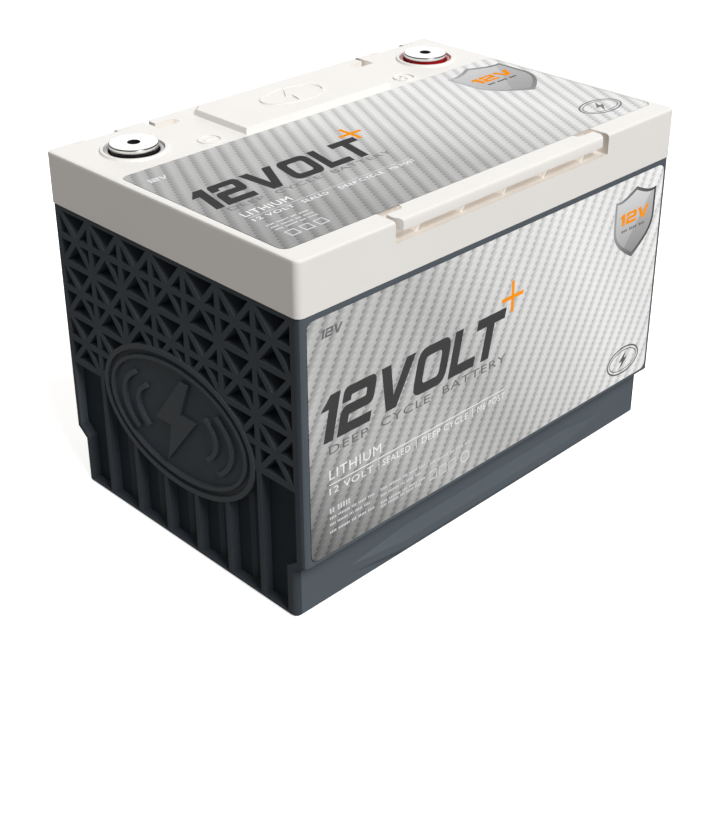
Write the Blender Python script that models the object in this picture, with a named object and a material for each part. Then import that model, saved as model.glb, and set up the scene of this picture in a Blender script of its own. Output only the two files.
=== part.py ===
# A sealed deep cycle battery for a caravan or boat: ribbed case, lid with moulded
# lift bars, two screw terminals, printed labels and a small lithium-titanate pack inside.
# Metres throughout. +X runs along the length, -Y is the labelled front, +Z is up.
import math
import bpy
import bmesh
from mathutils import Vector

MM = 0.001

# Overall sizes
LENGTH = 260.0 * MM
WIDTH = 175.0 * MM
LID_TOP = 181.8 * MM
LID_DEPTH = 26.0 * MM          # top of the lid down to the edge of its skirt
GAP = 0.3 * MM                 # clearance between pieces that rest on each other
FIT = 0.4 * MM                 # sliding clearance round an inserted piece
PROUD = 0.5 * MM               # how far a tool overshoots the surface it cuts

# Case
CASE_INSET = 0.4 * MM          # lid overhang at the ends
CASE_SIDE_INSET = 0.2 * MM     # lid overhang along the sides
CORNER_R = 3.6 * MM
CORNER_STEPS = 4
BASE_INSET = 6.6 * MM          # base is narrower than the body, for the hold-downs
BASE_TOP = 26.0 * MM
BODY_BOTTOM = 31.0 * MM
BOTTOM_EDGE = 1.2 * MM
SIDE_WALL = 3.4 * MM
FLOOR = 4.0 * MM
PANEL_DEPTH = 0.7 * MM         # shallow recess a label sits in
LABEL_T = 0.4 * MM

# End lattice
COLUMNS = 7
ROWS = 3
LATTICE_EDGE = 5.7 * MM         # lattice outline in from the case's side
LATTICE_LIP = 1.95 * MM        # lattice outline below the lid's skirt
LATTICE_SHARE = 0.4525         # lattice foot, as a share of the skirt's height
BAR_HALF = 1.5 * MM
LATTICE_TOP_BAR = 0.6 * MM
LATTICE_LOW_BAR = 2.9 * MM
LATTICE_SIDE_BAR = 0.1 * MM
DIAGONAL_HALF = 1.35 * MM
POCKET_DEPTH = 8.0 * MM
POCKET_DRAFT = 0.80
RIB_BAY_DEPTH = 4.6 * MM
RIB_BAY_PLEAT = 1.3 * MM
RIB_BAY_BOTTOM = 2.6 * MM
RIB_BAY_LIP = 0.45 * MM        # bays stop this far below the lattice outline
RIB_BAY_SIDE = 5.2 * MM         # outer wall left beside the two corner bays
END_SKIN = 2.8 * MM

# Plaque moulded on each end
PLAQUE_A = 56.0 * MM
PLAQUE_B = 36.0 * MM
PLAQUE_DROP = 0.45 * MM        # plaque middle below the lattice foot
PLAQUE_RAISE = 0.35 * MM
PLAQUE_RIM = 3.0 * MM
PLAQUE_MARGIN = 2.4 * MM
PLAQUE_SINK = 1.3 * MM         # plaque field below the face of the end
PLAQUE_ARCS = ((40.0 * MM, 23.0 * MM), (29.0 * MM, 16.5 * MM))
PLAQUE_ARC_W = 2.6 * MM
PLAQUE_ARC_TURN = math.radians(42)
PLAQUE_ARC_STEPS = 14
PLAQUE_STEPS = 40

# Hold-down ledge along each long side
LEDGE_OUT = 4.6 * MM
LEDGE_ROOT_Z = 16.0 * MM
LEDGE_LIP_Z = 12.0 * MM
LEDGE_LOW_Z = 7.5 * MM
LEDGE_UNDER_Z = 3.0 * MM
LEDGE_FLAT = 62.0 * MM
LEDGE_TIP = 96.0 * MM

# Lid
LID_WALL = 3.2 * MM
LID_PLATE = 3.6 * MM
LID_EDGE_R = 1.6 * MM
LID_LIP = 5.0 * MM             # locating lip that drops inside the case
LID_LIP_T = 2.2 * MM
NOTCH_HALF = 74.0 * MM
NOTCH_DROP = 10.3 * MM         # finger bay floor below the top of the lid
NOTCH_DEEP = 15.1 * MM
LIFT_BAR_T = 5.4 * MM
BAR_DEEP = 8.1 * MM
BAR_END = 71.5 * MM
BAR_FACE_END = 69.3 * MM
BAR_CHAMFER = 3.5 * MM
SLOT_END = 60.0 * MM
GUSSETS = 5
GUSSET_PITCH = 28.7 * MM
GUSSET_T = 1.6 * MM
GUSSET_BACK = 1.2 * MM
GUSSET_FOOT = 4.0 * MM
PLATFORM_HALF = 50.0 * MM
PLATFORM_RUN = 44.4 * MM
PLATFORM_SET = 7.5 * MM        # platform's back edge in from the lid's back
PLATFORM_RISE = 3.0 * MM
PLATFORM_DRAFT = 0.6 * MM
PLATFORM_CORNER = 5.0 * MM
MARK_X = 67.0 * MM
MARK_SET = 6.9 * MM            # mark's middle behind the platform's front
MARK_R = 6.0 * MM
MARK_W = 0.8 * MM
MARK_RISE = 0.6 * MM
MARK_BAR = 3.2 * MM
RELIEF_HALF = 9.6 * MM
RELIEF_DEEP = 1.6 * MM
RELIEF_RUN = 4.0 * MM
GROOVE_HALF = 16.3 * MM
GROOVE_W = 0.9 * MM
GROOVE_DEEP = 0.8 * MM

# Terminals
TERM_END = 30.0 * MM           # terminal middle in from the lid's end
TERM_BACK = 29.5 * MM          # terminal middle in from the lid's back
TERM_R = 11.8 * MM
TERM_NECK = 0.4 * MM           # neck under the head is this much slimmer
TERM_HEAD_T = 1.9 * MM
TERM_EDGE = 0.5 * MM
TERM_RISE = 3.7 * MM
TERM_BORE_R = 2.9 * MM
TERM_BORE_L = 14.0 * MM
TERM_BORE_EDGE = 0.5 * MM
TERM_FLANGE = 3.2 * MM         # flange stands out this far beyond the head
TERM_FLANGE_T = 3.5 * MM
STUD_R = 4.0 * MM
STUD_L = 12.0 * MM
COLLAR_T = 1.5 * MM
RING_W = 2.1 * MM
COLLAR_RISE = 1.0 * MM
RING_TOP = 0.3 * MM
RING_T = 3.0 * MM
BOSS_T = 3.4 * MM
BOSS_DROP = 14.8 * MM          # foot of the boss below the top of the lid
TURNED_STEPS = 40

# Labels
SIDE_LABEL_END = 4.2 * MM      # label edge in from the case's end
SIDE_LABEL_UP = 1.6 * MM       # label foot above the body's lower corner
SIDE_LABEL_DROP = 3.2 * MM     # label top below the lid's skirt
TOP_LABEL_END = 4.0 * MM
TOP_LABEL_FRONT = 12.0 * MM    # label edge in from the lid's front
TOP_LABEL_GAP = 2.0 * MM       # label edge in front of the platform
LABEL_R = 4.0 * MM

# Cell pack
CELLS = 5
CELL_T = 22.0 * MM
CELL_W = 116.0 * MM
CELL_H = 106.0 * MM
CELL_R = 2.5 * MM
CELL_POST_R = 6.0 * MM
CELL_POST_H = 4.0 * MM
CELL_POST_Y = 36.0 * MM
VENT_R = 4.5 * MM
VENT_H = 0.6 * MM
SPACER_T = 1.2 * MM
MAT_T = 3.0 * MM
PLATE_T = 5.0 * MM
PLATE_OVER = 11.0 * MM
PLATE_DROP = 6.0 * MM
ROD_R = 2.5 * MM
ROD_HEAD_R = 4.8 * MM
ROD_HEAD_T = 3.5 * MM
ROD_OUT = 5.5 * MM
ROD_LOW = 15.0 * MM             # rods in from the plates' lower and upper edges
ROD_HIGH = 23.0 * MM
NUT_R = 4.8 * MM
NUT_T = 4.0 * MM
LINK_T = 2.0 * MM
LINK_W = 15.0 * MM
BOARD_L = 84.0 * MM
BOARD_W = 62.0 * MM
BOARD_T = 1.6 * MM
BOARD_LIFT = 14.0 * MM
TRAY_T = 2.0 * MM
TRAY_HALF = 26.0 * MM
TRAY_FOOT = 6.0 * MM
POST_R = 3.2 * MM
HEAT_BAR_L = 60.0 * MM
HEAT_BAR_W = 12.0 * MM
HEAT_BAR_H = 7.0 * MM
PLUG_L = 22.0 * MM
PLUG_W = 7.0 * MM
PLUG_H = 8.0 * MM
LEAD_T = 2.0 * MM
LEAD_W = 16.0 * MM
LEAD_RISER_BACK = 8.0 * MM
STUD_NUT_R = 7.5 * MM

# Sizes that follow from the ones above
HX = LENGTH / 2
HY = WIDTH / 2
CX = HX - CASE_INSET
CY = HY - CASE_SIDE_INSET
BY = CY - BASE_INSET
LID_EDGE = LID_TOP - LID_DEPTH
CASE_TOP = LID_EDGE - GAP
LATTICE_TOP = LID_EDGE - LATTICE_LIP
LATTICE_BOTTOM = LID_EDGE * LATTICE_SHARE
LATTICE_HALF = CY - LATTICE_EDGE
RIB_BAY_TOP = LATTICE_BOTTOM - RIB_BAY_LIP
PLAQUE_Z = LATTICE_BOTTOM - PLAQUE_DROP
NOTCH_FLOOR = LID_TOP - NOTCH_DROP
BAR_UNDER = LID_TOP - LIFT_BAR_T
BOSS_BOTTOM = LID_TOP - BOSS_DROP
TERM_X = HX - TERM_END
TERM_Y = HY - TERM_BACK
TERM_NECK_R = TERM_R - TERM_NECK
TERM_FLANGE_R = TERM_R + TERM_FLANGE
RING_IN = TERM_R + FIT
RING_OUT = RING_IN + RING_W
COLLAR_IN = RING_OUT + GAP
COLLAR_R = COLLAR_IN + COLLAR_T
BOSS_R = COLLAR_IN + BOSS_T
PLATFORM_BACK = HY - PLATFORM_SET
PLATFORM_FRONT = PLATFORM_BACK - PLATFORM_RUN
MARK_Y = PLATFORM_FRONT + MARK_SET
SIDE_LABEL_HALF = CX - SIDE_LABEL_END
SIDE_LABEL_LOW = BODY_BOTTOM + SIDE_LABEL_UP
SIDE_LABEL_HIGH = LID_EDGE - SIDE_LABEL_DROP
TOP_LABEL_HALF = HX - TOP_LABEL_END
INNER_X = CX - POCKET_DEPTH - END_SKIN
INNER_R = CORNER_R - 1.6 * MM
NOTCH_BACK = HY - NOTCH_DEEP
BAR_BACK = HY - BAR_DEEP
SLOT_R = (BAR_BACK - NOTCH_BACK) / 2
PACK_PITCH = CELL_T + SPACER_T + 2 * GAP
PACK_END = (CELLS - 1) / 2 * PACK_PITCH + CELL_T / 2
MAT_TOP = FLOOR + GAP + MAT_T
CELL_BASE = MAT_TOP + GAP
CELL_TOP = CELL_BASE + CELL_H
POST_TOP = CELL_TOP + CELL_POST_H
PLATE_HALF_Y = CELL_W / 2 + PLATE_OVER
PLATE_TOP = CELL_TOP - PLATE_DROP
ROD_Y = CELL_W / 2 + ROD_OUT


for old in list(bpy.data.objects):
    bpy.data.objects.remove(old, do_unlink=True)

battery = bpy.data.collections.new("deep_cycle_battery")
tools = bpy.data.collections.new("cutters")
bpy.context.scene.collection.children.link(battery)
bpy.context.scene.collection.children.link(tools)


def material(name, colour, roughness, metallic=0.0):
    """One Principled material with a plain colour."""
    made = bpy.data.materials.new(name)
    made.use_nodes = True
    shader = made.node_tree.nodes["Principled BSDF"]
    shader.inputs["Base Color"].default_value = (*colour, 1.0)
    shader.inputs["Roughness"].default_value = roughness
    shader.inputs["Metallic"].default_value = metallic
    return made


CASE_MAT = material("case_slate_plastic", (0.055, 0.066, 0.080), 0.45)
LID_MAT = material("lid_white_plastic", (0.80, 0.79, 0.76), 0.42)
LABEL_MAT = material("label_silver_film", (0.55, 0.56, 0.57), 0.30)
CHROME_MAT = material("terminal_plated_brass", (0.86, 0.86, 0.85), 0.12, 1.0)
BLACK_MAT = material("negative_ring_black", (0.010, 0.010, 0.011), 0.18)
RED_MAT = material("positive_ring_red", (0.50, 0.012, 0.012), 0.18)
CELL_MAT = material("cell_can_aluminium", (0.70, 0.71, 0.72), 0.32, 1.0)
SPACER_MAT = material("spacer_nylon", (0.62, 0.60, 0.55), 0.60)
PLATE_MAT = material("plate_anodised", (0.22, 0.23, 0.25), 0.40, 1.0)
STEEL_MAT = material("rod_zinc_steel", (0.58, 0.58, 0.57), 0.35, 1.0)
LINK_MAT = material("link_aluminium", (0.80, 0.80, 0.80), 0.28, 1.0)
LEAD_MAT = material("lead_copper", (0.72, 0.38, 0.22), 0.30, 1.0)
RUBBER_MAT = material("mat_rubber", (0.03, 0.03, 0.03), 0.85)
FILLER_MAT = material("filler_rigid_foam", (0.16, 0.16, 0.17), 0.95)
BOARD_MAT = material("board_green", (0.02, 0.16, 0.07), 0.45)
PLUG_MAT = material("plug_ivory", (0.75, 0.72, 0.62), 0.50)


def new_object(name, verts, faces, mat, home):
    """Object from corner points and faces, its normals turned outwards."""
    mesh = bpy.data.meshes.new(name)
    mesh.from_pydata([tuple(v) for v in verts], [], faces)
    work = bmesh.new()
    work.from_mesh(mesh)
    bmesh.ops.recalc_face_normals(work, faces=work.faces)
    work.to_mesh(mesh)
    work.free()
    if mat:
        mesh.materials.append(mat)
    made = bpy.data.objects.new(name, mesh)
    home.objects.link(made)
    return made


def piece(name, shape, mat):
    """A named sub-part of the battery."""
    return new_object(name, shape[0], shape[1], mat, battery)


def cutter(name, shapes):
    """A hidden tool made of one or more separate bodies."""
    verts, faces = [], []
    for more_verts, more_faces in shapes:
        start = len(verts)
        verts += list(more_verts)
        faces += [[start + i for i in face] for face in more_faces]
    made = new_object(name, verts, faces, None, tools)
    made.hide_render = True
    made.display_type = "WIRE"
    return made


def combine(target, tool, operation):
    """Boolean the tool into the target with the exact solver."""
    mod = target.modifiers.new(tool.name, "BOOLEAN")
    mod.operation = operation
    mod.solver = "EXACT"
    mod.object = tool


def stack(rings, closed_ends=True):
    """Skin through rings of equal length; the end rings are capped when asked."""
    n = len(rings[0])
    verts = [p for ring in rings for p in ring]
    faces = []
    for k in range(len(rings) - 1):
        a, b = k * n, (k + 1) * n
        faces += [[a + i, a + (i + 1) % n, b + (i + 1) % n, b + i] for i in range(n)]
    if closed_ends:
        faces.append(list(range(n))[::-1])
        faces.append([(len(rings) - 1) * n + i for i in range(n)])
    return verts, faces


def loop(rings):
    """Skin through rings and back to the first one, for a hollow piece."""
    n, m = len(rings[0]), len(rings)
    verts = [p for ring in rings for p in ring]
    faces = []
    for k in range(m):
        a, b = k * n, ((k + 1) % m) * n
        faces += [[a + i, a + (i + 1) % n, b + (i + 1) % n, b + i] for i in range(n)]
    return verts, faces


def rounded(hx, hy, r, z, cx=0.0, cy=0.0, steps=CORNER_STEPS):
    """Rounded rectangle of half sizes hx and hy, flat at height z."""
    ring = []
    for sx, sy, start in ((1, 1, 0.0), (-1, 1, 0.5), (-1, -1, 1.0), (1, -1, 1.5)):
        for k in range(steps + 1):
            a = math.pi * (start + 0.5 * k / steps)
            ring.append((cx + sx * (hx - r) + r * math.cos(a), cy + sy * (hy - r) + r * math.sin(a), z))
    return ring


def circle(r, z, cx=0.0, cy=0.0, steps=TURNED_STEPS):
    """Circle of radius r, flat at height z."""
    turn = 2 * math.pi / steps
    return [(cx + r * math.cos(k * turn), cy + r * math.sin(k * turn), z) for k in range(steps)]


def turned(profile, cx, cy, steps=TURNED_STEPS):
    """Solid of revolution about a vertical line; the profile's ends are capped."""
    return stack([circle(r, z, cx, cy, steps) for r, z in profile])


def box(x0, x1, y0, y1, z0, z1):
    """Plain box between three pairs of limits."""
    ring = [(x0, y0), (x1, y0), (x1, y1), (x0, y1)]
    return stack([[(x, y, z0) for x, y in ring], [(x, y, z1) for x, y in ring]])


def prism_x(outline, x0, x1, scale=1.0):
    """Outline of (y, z) points run from x0 to x1, its far end scaled about its middle."""
    my = sum(p[0] for p in outline) / len(outline)
    mz = sum(p[1] for p in outline) / len(outline)
    far = [(my + (y - my) * scale, mz + (z - mz) * scale) for y, z in outline]
    return stack([[(x0, y, z) for y, z in outline], [(x1, y, z) for y, z in far]])


def prism_y(outline, y0, y1):
    """Outline of (x, z) points run from y0 to y1."""
    return stack([[(x, y0, z) for x, z in outline], [(x, y1, z) for x, z in outline]])


def prism_z(outline, z0, z1):
    """Outline of (x, y) points run from z0 to z1."""
    return stack([[(x, y, z0) for x, y in outline], [(x, y, z1) for x, y in outline]])


def inset(corners, margins):
    """Polygon whose sides are moved inwards, each by its own margin."""
    n = len(corners)
    area = sum(corners[i][0] * corners[(i + 1) % n][1] - corners[(i + 1) % n][0] * corners[i][1]
               for i in range(n))
    turn = 1.0 if area > 0 else -1.0
    lines = []
    for i in range(n):
        a, b = Vector(corners[i]), Vector(corners[(i + 1) % n])
        along = (b - a).normalized()
        inward = Vector((-along.y, along.x)) * turn
        lines.append((a + inward * margins[i], along))
    points = []
    for i in range(n):
        (p, d), (q, e) = lines[i - 1], lines[i]
        t = ((q.x - p.x) * e.y - (q.y - p.y) * e.x) / (d.x * e.y - d.y * e.x)
        points.append((p.x + d.x * t, p.y + d.y * t))
    return points



def plus_minus(shapes):
    """The shapes again, mirrored to the other end or side through the middle."""
    return shapes + [([(-x, -y, z) for x, y, z in verts], faces) for verts, faces in shapes]


# Case: an open cup whose outline steps in near the base, with the same step inside
case = piece("case", stack([
    rounded(CX - BOTTOM_EDGE, BY - BOTTOM_EDGE, CORNER_R - BOTTOM_EDGE, 0.0),
    rounded(CX, BY, CORNER_R, BOTTOM_EDGE),
    rounded(CX, BY, CORNER_R, BASE_TOP),
    rounded(CX, CY, CORNER_R, BODY_BOTTOM),
    rounded(CX, CY, CORNER_R, CASE_TOP),
    rounded(INNER_X, CY - SIDE_WALL, INNER_R, CASE_TOP),
    rounded(INNER_X, CY - SIDE_WALL, INNER_R, BODY_BOTTOM + SIDE_WALL / 2),
    rounded(INNER_X, BY - SIDE_WALL, INNER_R, BASE_TOP + SIDE_WALL / 2),
    rounded(INNER_X, BY - SIDE_WALL, INNER_R, FLOOR),
]), CASE_MAT)

# Hold-down ledges: a sloped top, a short upright face and pointed ends
ledge_rings = []
for x, out, root in ((-LEDGE_TIP, -0.2 * MM, LEDGE_LIP_Z), (-LEDGE_FLAT, LEDGE_OUT, LEDGE_ROOT_Z),
                     (LEDGE_FLAT, LEDGE_OUT, LEDGE_ROOT_Z), (LEDGE_TIP, -0.2 * MM, LEDGE_LIP_Z)):
    ledge_rings.append([(x, -(BY - 1.0 * MM), root + 0.8 * MM), (x, -(BY + out), LEDGE_LIP_Z),
                        (x, -(BY + out), LEDGE_LOW_Z),
                        (x, -(BY - 1.0 * MM), LEDGE_UNDER_Z if out > 0 else LEDGE_LOW_Z - 0.8 * MM)])
combine(case, cutter("hold_down_ledges", plus_minus([stack(ledge_rings)])), "UNION")

# Shallow panels in the long sides for the labels
panel = rounded(SIDE_LABEL_HALF + FIT, (SIDE_LABEL_HIGH - SIDE_LABEL_LOW) / 2 + FIT, LABEL_R + FIT, 0.0)
panel_mid = (SIDE_LABEL_HIGH + SIDE_LABEL_LOW) / 2
panel_outline = [(x, panel_mid + y) for x, y, _ in panel]
combine(case, cutter("label_panels", plus_minus([
    prism_y(panel_outline, -(CY + PROUD), -(CY - PANEL_DEPTH))])), "DIFFERENCE")

# Lattice pockets: each cell is crossed by two diagonals and a level bar
pitch_y = 2 * LATTICE_HALF / COLUMNS
pitch_z = (LATTICE_TOP - LATTICE_BOTTOM) / ROWS
pockets = []
for column in range(COLUMNS):
    left = -LATTICE_HALF + column * pitch_y
    right = left + pitch_y
    left_bar = LATTICE_SIDE_BAR if column == 0 else BAR_HALF
    right_bar = LATTICE_SIDE_BAR if column == COLUMNS - 1 else BAR_HALF
    for row in range(ROWS):
        low = LATTICE_BOTTOM + row * pitch_z
        high = low + pitch_z
        low_bar = LATTICE_LOW_BAR if row == 0 else BAR_HALF
        high_bar = LATTICE_TOP_BAR if row == ROWS - 1 else BAR_HALF
        mid = ((left + right) / 2, (low + high) / 2)
        west, east = (left, mid[1]), (right, mid[1])
        for corners, margins in (
                (((left, low), (right, low), mid), (low_bar, DIAGONAL_HALF, DIAGONAL_HALF)),
                (((left, high), (right, high), mid), (high_bar, DIAGONAL_HALF, DIAGONAL_HALF)),
                (((left, low), west, mid), (left_bar, BAR_HALF, DIAGONAL_HALF)),
                (((left, high), west, mid), (left_bar, BAR_HALF, DIAGONAL_HALF)),
                (((right, low), east, mid), (right_bar, BAR_HALF, DIAGONAL_HALF)),
                (((right, high), east, mid), (right_bar, BAR_HALF, DIAGONAL_HALF))):
            pockets.append(prism_x(inset(corners, margins), -(CX + PROUD),
                                   -(CX - POCKET_DEPTH), POCKET_DRAFT))

# Tall bays between the ribs below the lattice, each with a pleated back wall
for column in range(1, COLUMNS - 1):
    low_y = -LATTICE_HALF + column * pitch_y + BAR_HALF
    high_y = low_y + pitch_y - 2 * BAR_HALF
    mid_y = (low_y + high_y) / 2
    shallow, deep = -(CX - RIB_BAY_DEPTH), -(CX - RIB_BAY_DEPTH - RIB_BAY_PLEAT)
    pockets.append(prism_z([(-(CX + PROUD), low_y - 0.1 * MM), (-(CX + PROUD), high_y + 0.1 * MM),
                            (shallow, high_y - 0.5 * MM), (shallow, mid_y + 1.0 * MM),
                            (deep, mid_y - 1.0 * MM), (deep, low_y + 0.5 * MM)],
                           RIB_BAY_BOTTOM, RIB_BAY_TOP))
inner_y = LATTICE_HALF - pitch_y + BAR_HALF
outer_y = CY - RIB_BAY_SIDE
base_y = BY - RIB_BAY_SIDE
for side in (-1, 1):
    outline = [(inner_y, RIB_BAY_BOTTOM), (base_y, RIB_BAY_BOTTOM), (base_y, BASE_TOP + 2 * MM),
               (outer_y, BODY_BOTTOM + 2 * MM), (outer_y, RIB_BAY_TOP), (inner_y, RIB_BAY_TOP)]
    pockets.append(prism_x([(side * y, z) for y, z in outline], -(CX + PROUD), -(CX - RIB_BAY_DEPTH)))
combine(case, cutter("end_pockets", plus_minus(pockets)), "DIFFERENCE")


def ellipse(margin, x):
    """Plaque outline drawn in by the margin, at length x."""
    turn = 2 * math.pi / PLAQUE_STEPS
    return [(x, (PLAQUE_A - margin) * math.cos(k * turn),
             PLAQUE_Z + (PLAQUE_B - margin) * math.sin(k * turn)) for k in range(PLAQUE_STEPS)]


def arc_outline(a, b, side):
    """A curved bar of the plaque: a stretch of an ellipse, to the left or right of the bolt."""
    turns = [PLAQUE_ARC_TURN * (2 * k / PLAQUE_ARC_STEPS - 1) for k in range(PLAQUE_ARC_STEPS + 1)]
    outer, inner = ([(side * (a + w) * math.cos(t), PLAQUE_Z + (b + w) * math.sin(t)) for t in turns]
                    for w in (PLAQUE_ARC_W / 2, -PLAQUE_ARC_W / 2))
    return outer + inner[::-1]


# Plaques: a sunken oval with a double rim, a lightning bolt and two curved bars either side
face_x, field_x = -(CX + PLAQUE_RAISE), -(CX - PLAQUE_SINK)
sunk = stack([ellipse(PLAQUE_RIM / 2, -(CX + PROUD)), ellipse(PLAQUE_RIM / 2, field_x + PLAQUE_SINK)])
combine(case, cutter("plaque_recesses", plus_minus([sunk])), "DIFFERENCE")
soft = 0.3 * MM
second = PLAQUE_RIM + 2 * PLAQUE_MARGIN
plaque = stack([
    ellipse(0.0, -(CX - POCKET_DEPTH - 1.0 * MM)), ellipse(0.0, face_x + soft), ellipse(soft, face_x),
    ellipse(PLAQUE_RIM - soft, face_x), ellipse(PLAQUE_RIM, field_x),
    ellipse(PLAQUE_RIM + PLAQUE_MARGIN, field_x), ellipse(PLAQUE_RIM + PLAQUE_MARGIN + soft, face_x),
    ellipse(second - soft, face_x), ellipse(second, field_x)])
combine(case, cutter("end_plaques", plus_minus([plaque])), "UNION")
BOLT = ((5.0, 24.0), (-15.0, -3.0), (-3.5, -3.0), (-8.0, -24.0), (15.0, 5.0), (3.5, 5.0), (11.0, 24.0))
bolt_root = field_x + 1.0 * MM
relief = [prism_x([(-y * MM, PLAQUE_Z + z * MM) for y, z in BOLT], bolt_root, face_x)]
relief += [prism_x(arc_outline(a, b, side), bolt_root, face_x) for a, b in PLAQUE_ARCS for side in (-1, 1)]
combine(case, cutter("plaque_reliefs", plus_minus(relief)), "UNION")

# Lid: a shallow cap with a locating lip that drops inside the case
lip_x, lip_y = INNER_X - FIT, CY - SIDE_WALL - FIT
step_z = NOTCH_FLOOR - LID_WALL
ceiling_y = NOTCH_BACK - LID_WALL
lid = piece("lid", stack([
    rounded(HX - LID_WALL - 1.0 * MM, ceiling_y, INNER_R, LID_TOP - LID_PLATE),
    rounded(HX - LID_WALL - 1.0 * MM, ceiling_y, INNER_R, step_z),
    rounded(HX - LID_WALL, HY - LID_WALL, INNER_R, step_z - 1.0 * MM),
    rounded(HX - LID_WALL, HY - LID_WALL, INNER_R, LID_EDGE + 2.0 * MM),
    rounded(lip_x - LID_LIP_T, lip_y - LID_LIP_T, INNER_R - 1.0 * MM, LID_EDGE + 1.0 * MM),
    rounded(lip_x - LID_LIP_T, lip_y - LID_LIP_T, INNER_R - 1.0 * MM, LID_EDGE - LID_LIP),
    rounded(lip_x, lip_y, INNER_R, LID_EDGE - LID_LIP),
    rounded(lip_x, lip_y, INNER_R, LID_EDGE),
    rounded(HX, HY, CORNER_R, LID_EDGE),
    rounded(HX, HY, CORNER_R, LID_TOP - LID_EDGE_R),
    rounded(HX - 0.3 * LID_EDGE_R, HY - 0.3 * LID_EDGE_R, CORNER_R - 0.3 * LID_EDGE_R,
            LID_TOP - 0.3 * LID_EDGE_R),
    rounded(HX - LID_EDGE_R, HY - LID_EDGE_R, CORNER_R - LID_EDGE_R, LID_TOP),
]), LID_MAT)

# Bosses that carry the terminals, the collars above them and the raised centre platform
raised = []
for sx in (-1, 1):
    raised.append(turned([(BOSS_R, BOSS_BOTTOM), (BOSS_R, LID_TOP - 1.2 * MM),
                          (COLLAR_R + 0.4 * MM, LID_TOP - 1.1 * MM), (COLLAR_R + 0.4 * MM, LID_TOP),
                          (COLLAR_R, LID_TOP + COLLAR_RISE - 0.3 * MM),
                          (COLLAR_R - 0.3 * MM, LID_TOP + COLLAR_RISE)], sx * TERM_X, TERM_Y))
platform_y = (PLATFORM_FRONT + PLATFORM_BACK) / 2
platform_hy = (PLATFORM_BACK - PLATFORM_FRONT) / 2


def platform_ring(grow, z):
    """Platform outline: square at the front, its two back corners cut off."""
    hx, hy, cut = PLATFORM_HALF + grow, platform_hy + grow, PLATFORM_CORNER
    return [(hx, platform_y - hy, z), (hx, platform_y + hy - cut, z), (hx - cut, platform_y + hy, z),
            (-hx + cut, platform_y + hy, z), (-hx, platform_y + hy - cut, z), (-hx, platform_y - hy, z)]


raised.append(stack([platform_ring(0.0, LID_TOP - 1.0 * MM), platform_ring(0.0, LID_TOP),
                     platform_ring(-PLATFORM_DRAFT, LID_TOP + PLATFORM_RISE - 0.4 * MM),
                     platform_ring(-PLATFORM_DRAFT - 0.4 * MM, LID_TOP + PLATFORM_RISE)]))
for sx in (-1, 1):
    mark = [(MARK_R, -1.0), (MARK_R, MARK_RISE / MM), (MARK_R - MARK_W, MARK_RISE / MM),
            (MARK_R - MARK_W, -1.0)]
    raised.append(loop([circle(r, LID_TOP + z * MM, sx * MARK_X, MARK_Y, 28) for r, z in mark]))
half, thin = MARK_BAR, MARK_W / 2
raised.append(box(-MARK_X - half, -MARK_X + half, MARK_Y - thin, MARK_Y + thin,
                  LID_TOP - 1.0 * MM, LID_TOP + MARK_RISE))
plus = [(half, -thin), (half, thin), (thin, thin), (thin, half), (-thin, half), (-thin, thin),
        (-half, thin), (-half, -thin), (-thin, -thin), (-thin, -half), (thin, -half), (thin, -thin)]
raised.append(prism_z([(MARK_X + x, MARK_Y + y) for x, y in plus], LID_TOP - 1.0 * MM,
                      LID_TOP + MARK_RISE))
combine(lid, cutter("lid_raised", raised), "UNION")

# Emblem on the platform: a flat oval ring with a small bolt inside
emblem = [loop([[(20.0 * MM * k * math.cos(a), platform_y + 11.0 * MM * k * math.sin(a), z)
                 for a in [2 * math.pi * i / 36 for i in range(36)]]
                for k, z in ((1.0, LID_TOP + 1.0 * MM), (1.0, LID_TOP + PLATFORM_RISE + MARK_RISE),
                             (0.93, LID_TOP + PLATFORM_RISE + MARK_RISE), (0.93, LID_TOP + 1.0 * MM))])]
emblem.append(prism_z([(x * 0.36 * MM, platform_y + y * 0.36 * MM) for x, y in BOLT],
                      LID_TOP + 1.0 * MM, LID_TOP + PLATFORM_RISE + MARK_RISE))
combine(lid, cutter("lid_emblem", emblem), "UNION")

# Finger bays under the two lift bars, then the gaps round the bar ends with their slots
bays = box(-NOTCH_HALF, NOTCH_HALF, -(HY + PROUD), -NOTCH_BACK, NOTCH_FLOOR, BAR_UNDER)
combine(lid, cutter("finger_bays", plus_minus([bays])), "DIFFERENCE")
slot_x, slot_y = SLOT_END + SLOT_R, (BAR_BACK + NOTCH_BACK) / 2
round_end = [(slot_x - SLOT_R * math.sin(math.pi * k / 10), -slot_y + SLOT_R * math.cos(math.pi * k / 10))
             for k in range(11)]
gap_outline = [(NOTCH_HALF, -(HY + PROUD)), (NOTCH_HALF, -NOTCH_BACK)] + round_end + [
    (BAR_END, -BAR_BACK), (BAR_END, -(HY - BAR_CHAMFER)), (BAR_FACE_END, -HY),
    (BAR_FACE_END, -(HY + PROUD))]
gaps = [prism_z([(s * x, y) for x, y in gap_outline], NOTCH_FLOOR, LID_TOP + PROUD) for s in (-1, 1)]
combine(lid, cutter("bar_end_gaps", plus_minus(gaps)), "DIFFERENCE")

# Gussets that hold each lift bar up off the bay floor
gussets = []
for k in range(GUSSETS):
    x = (k - (GUSSETS - 1) / 2) * GUSSET_PITCH
    outline = [(-(HY - GUSSET_BACK), BAR_UNDER + 0.5 * MM), (-(HY - GUSSET_FOOT), NOTCH_FLOOR - 0.5 * MM),
               (-(NOTCH_BACK - 0.5 * MM), NOTCH_FLOOR - 0.5 * MM),
               (-(NOTCH_BACK - 0.5 * MM), BAR_UNDER + 0.5 * MM)]
    gussets.append(prism_x(outline, x - GUSSET_T / 2, x + GUSSET_T / 2))
combine(lid, cutter("bar_gussets", plus_minus(gussets)), "UNION")

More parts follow.
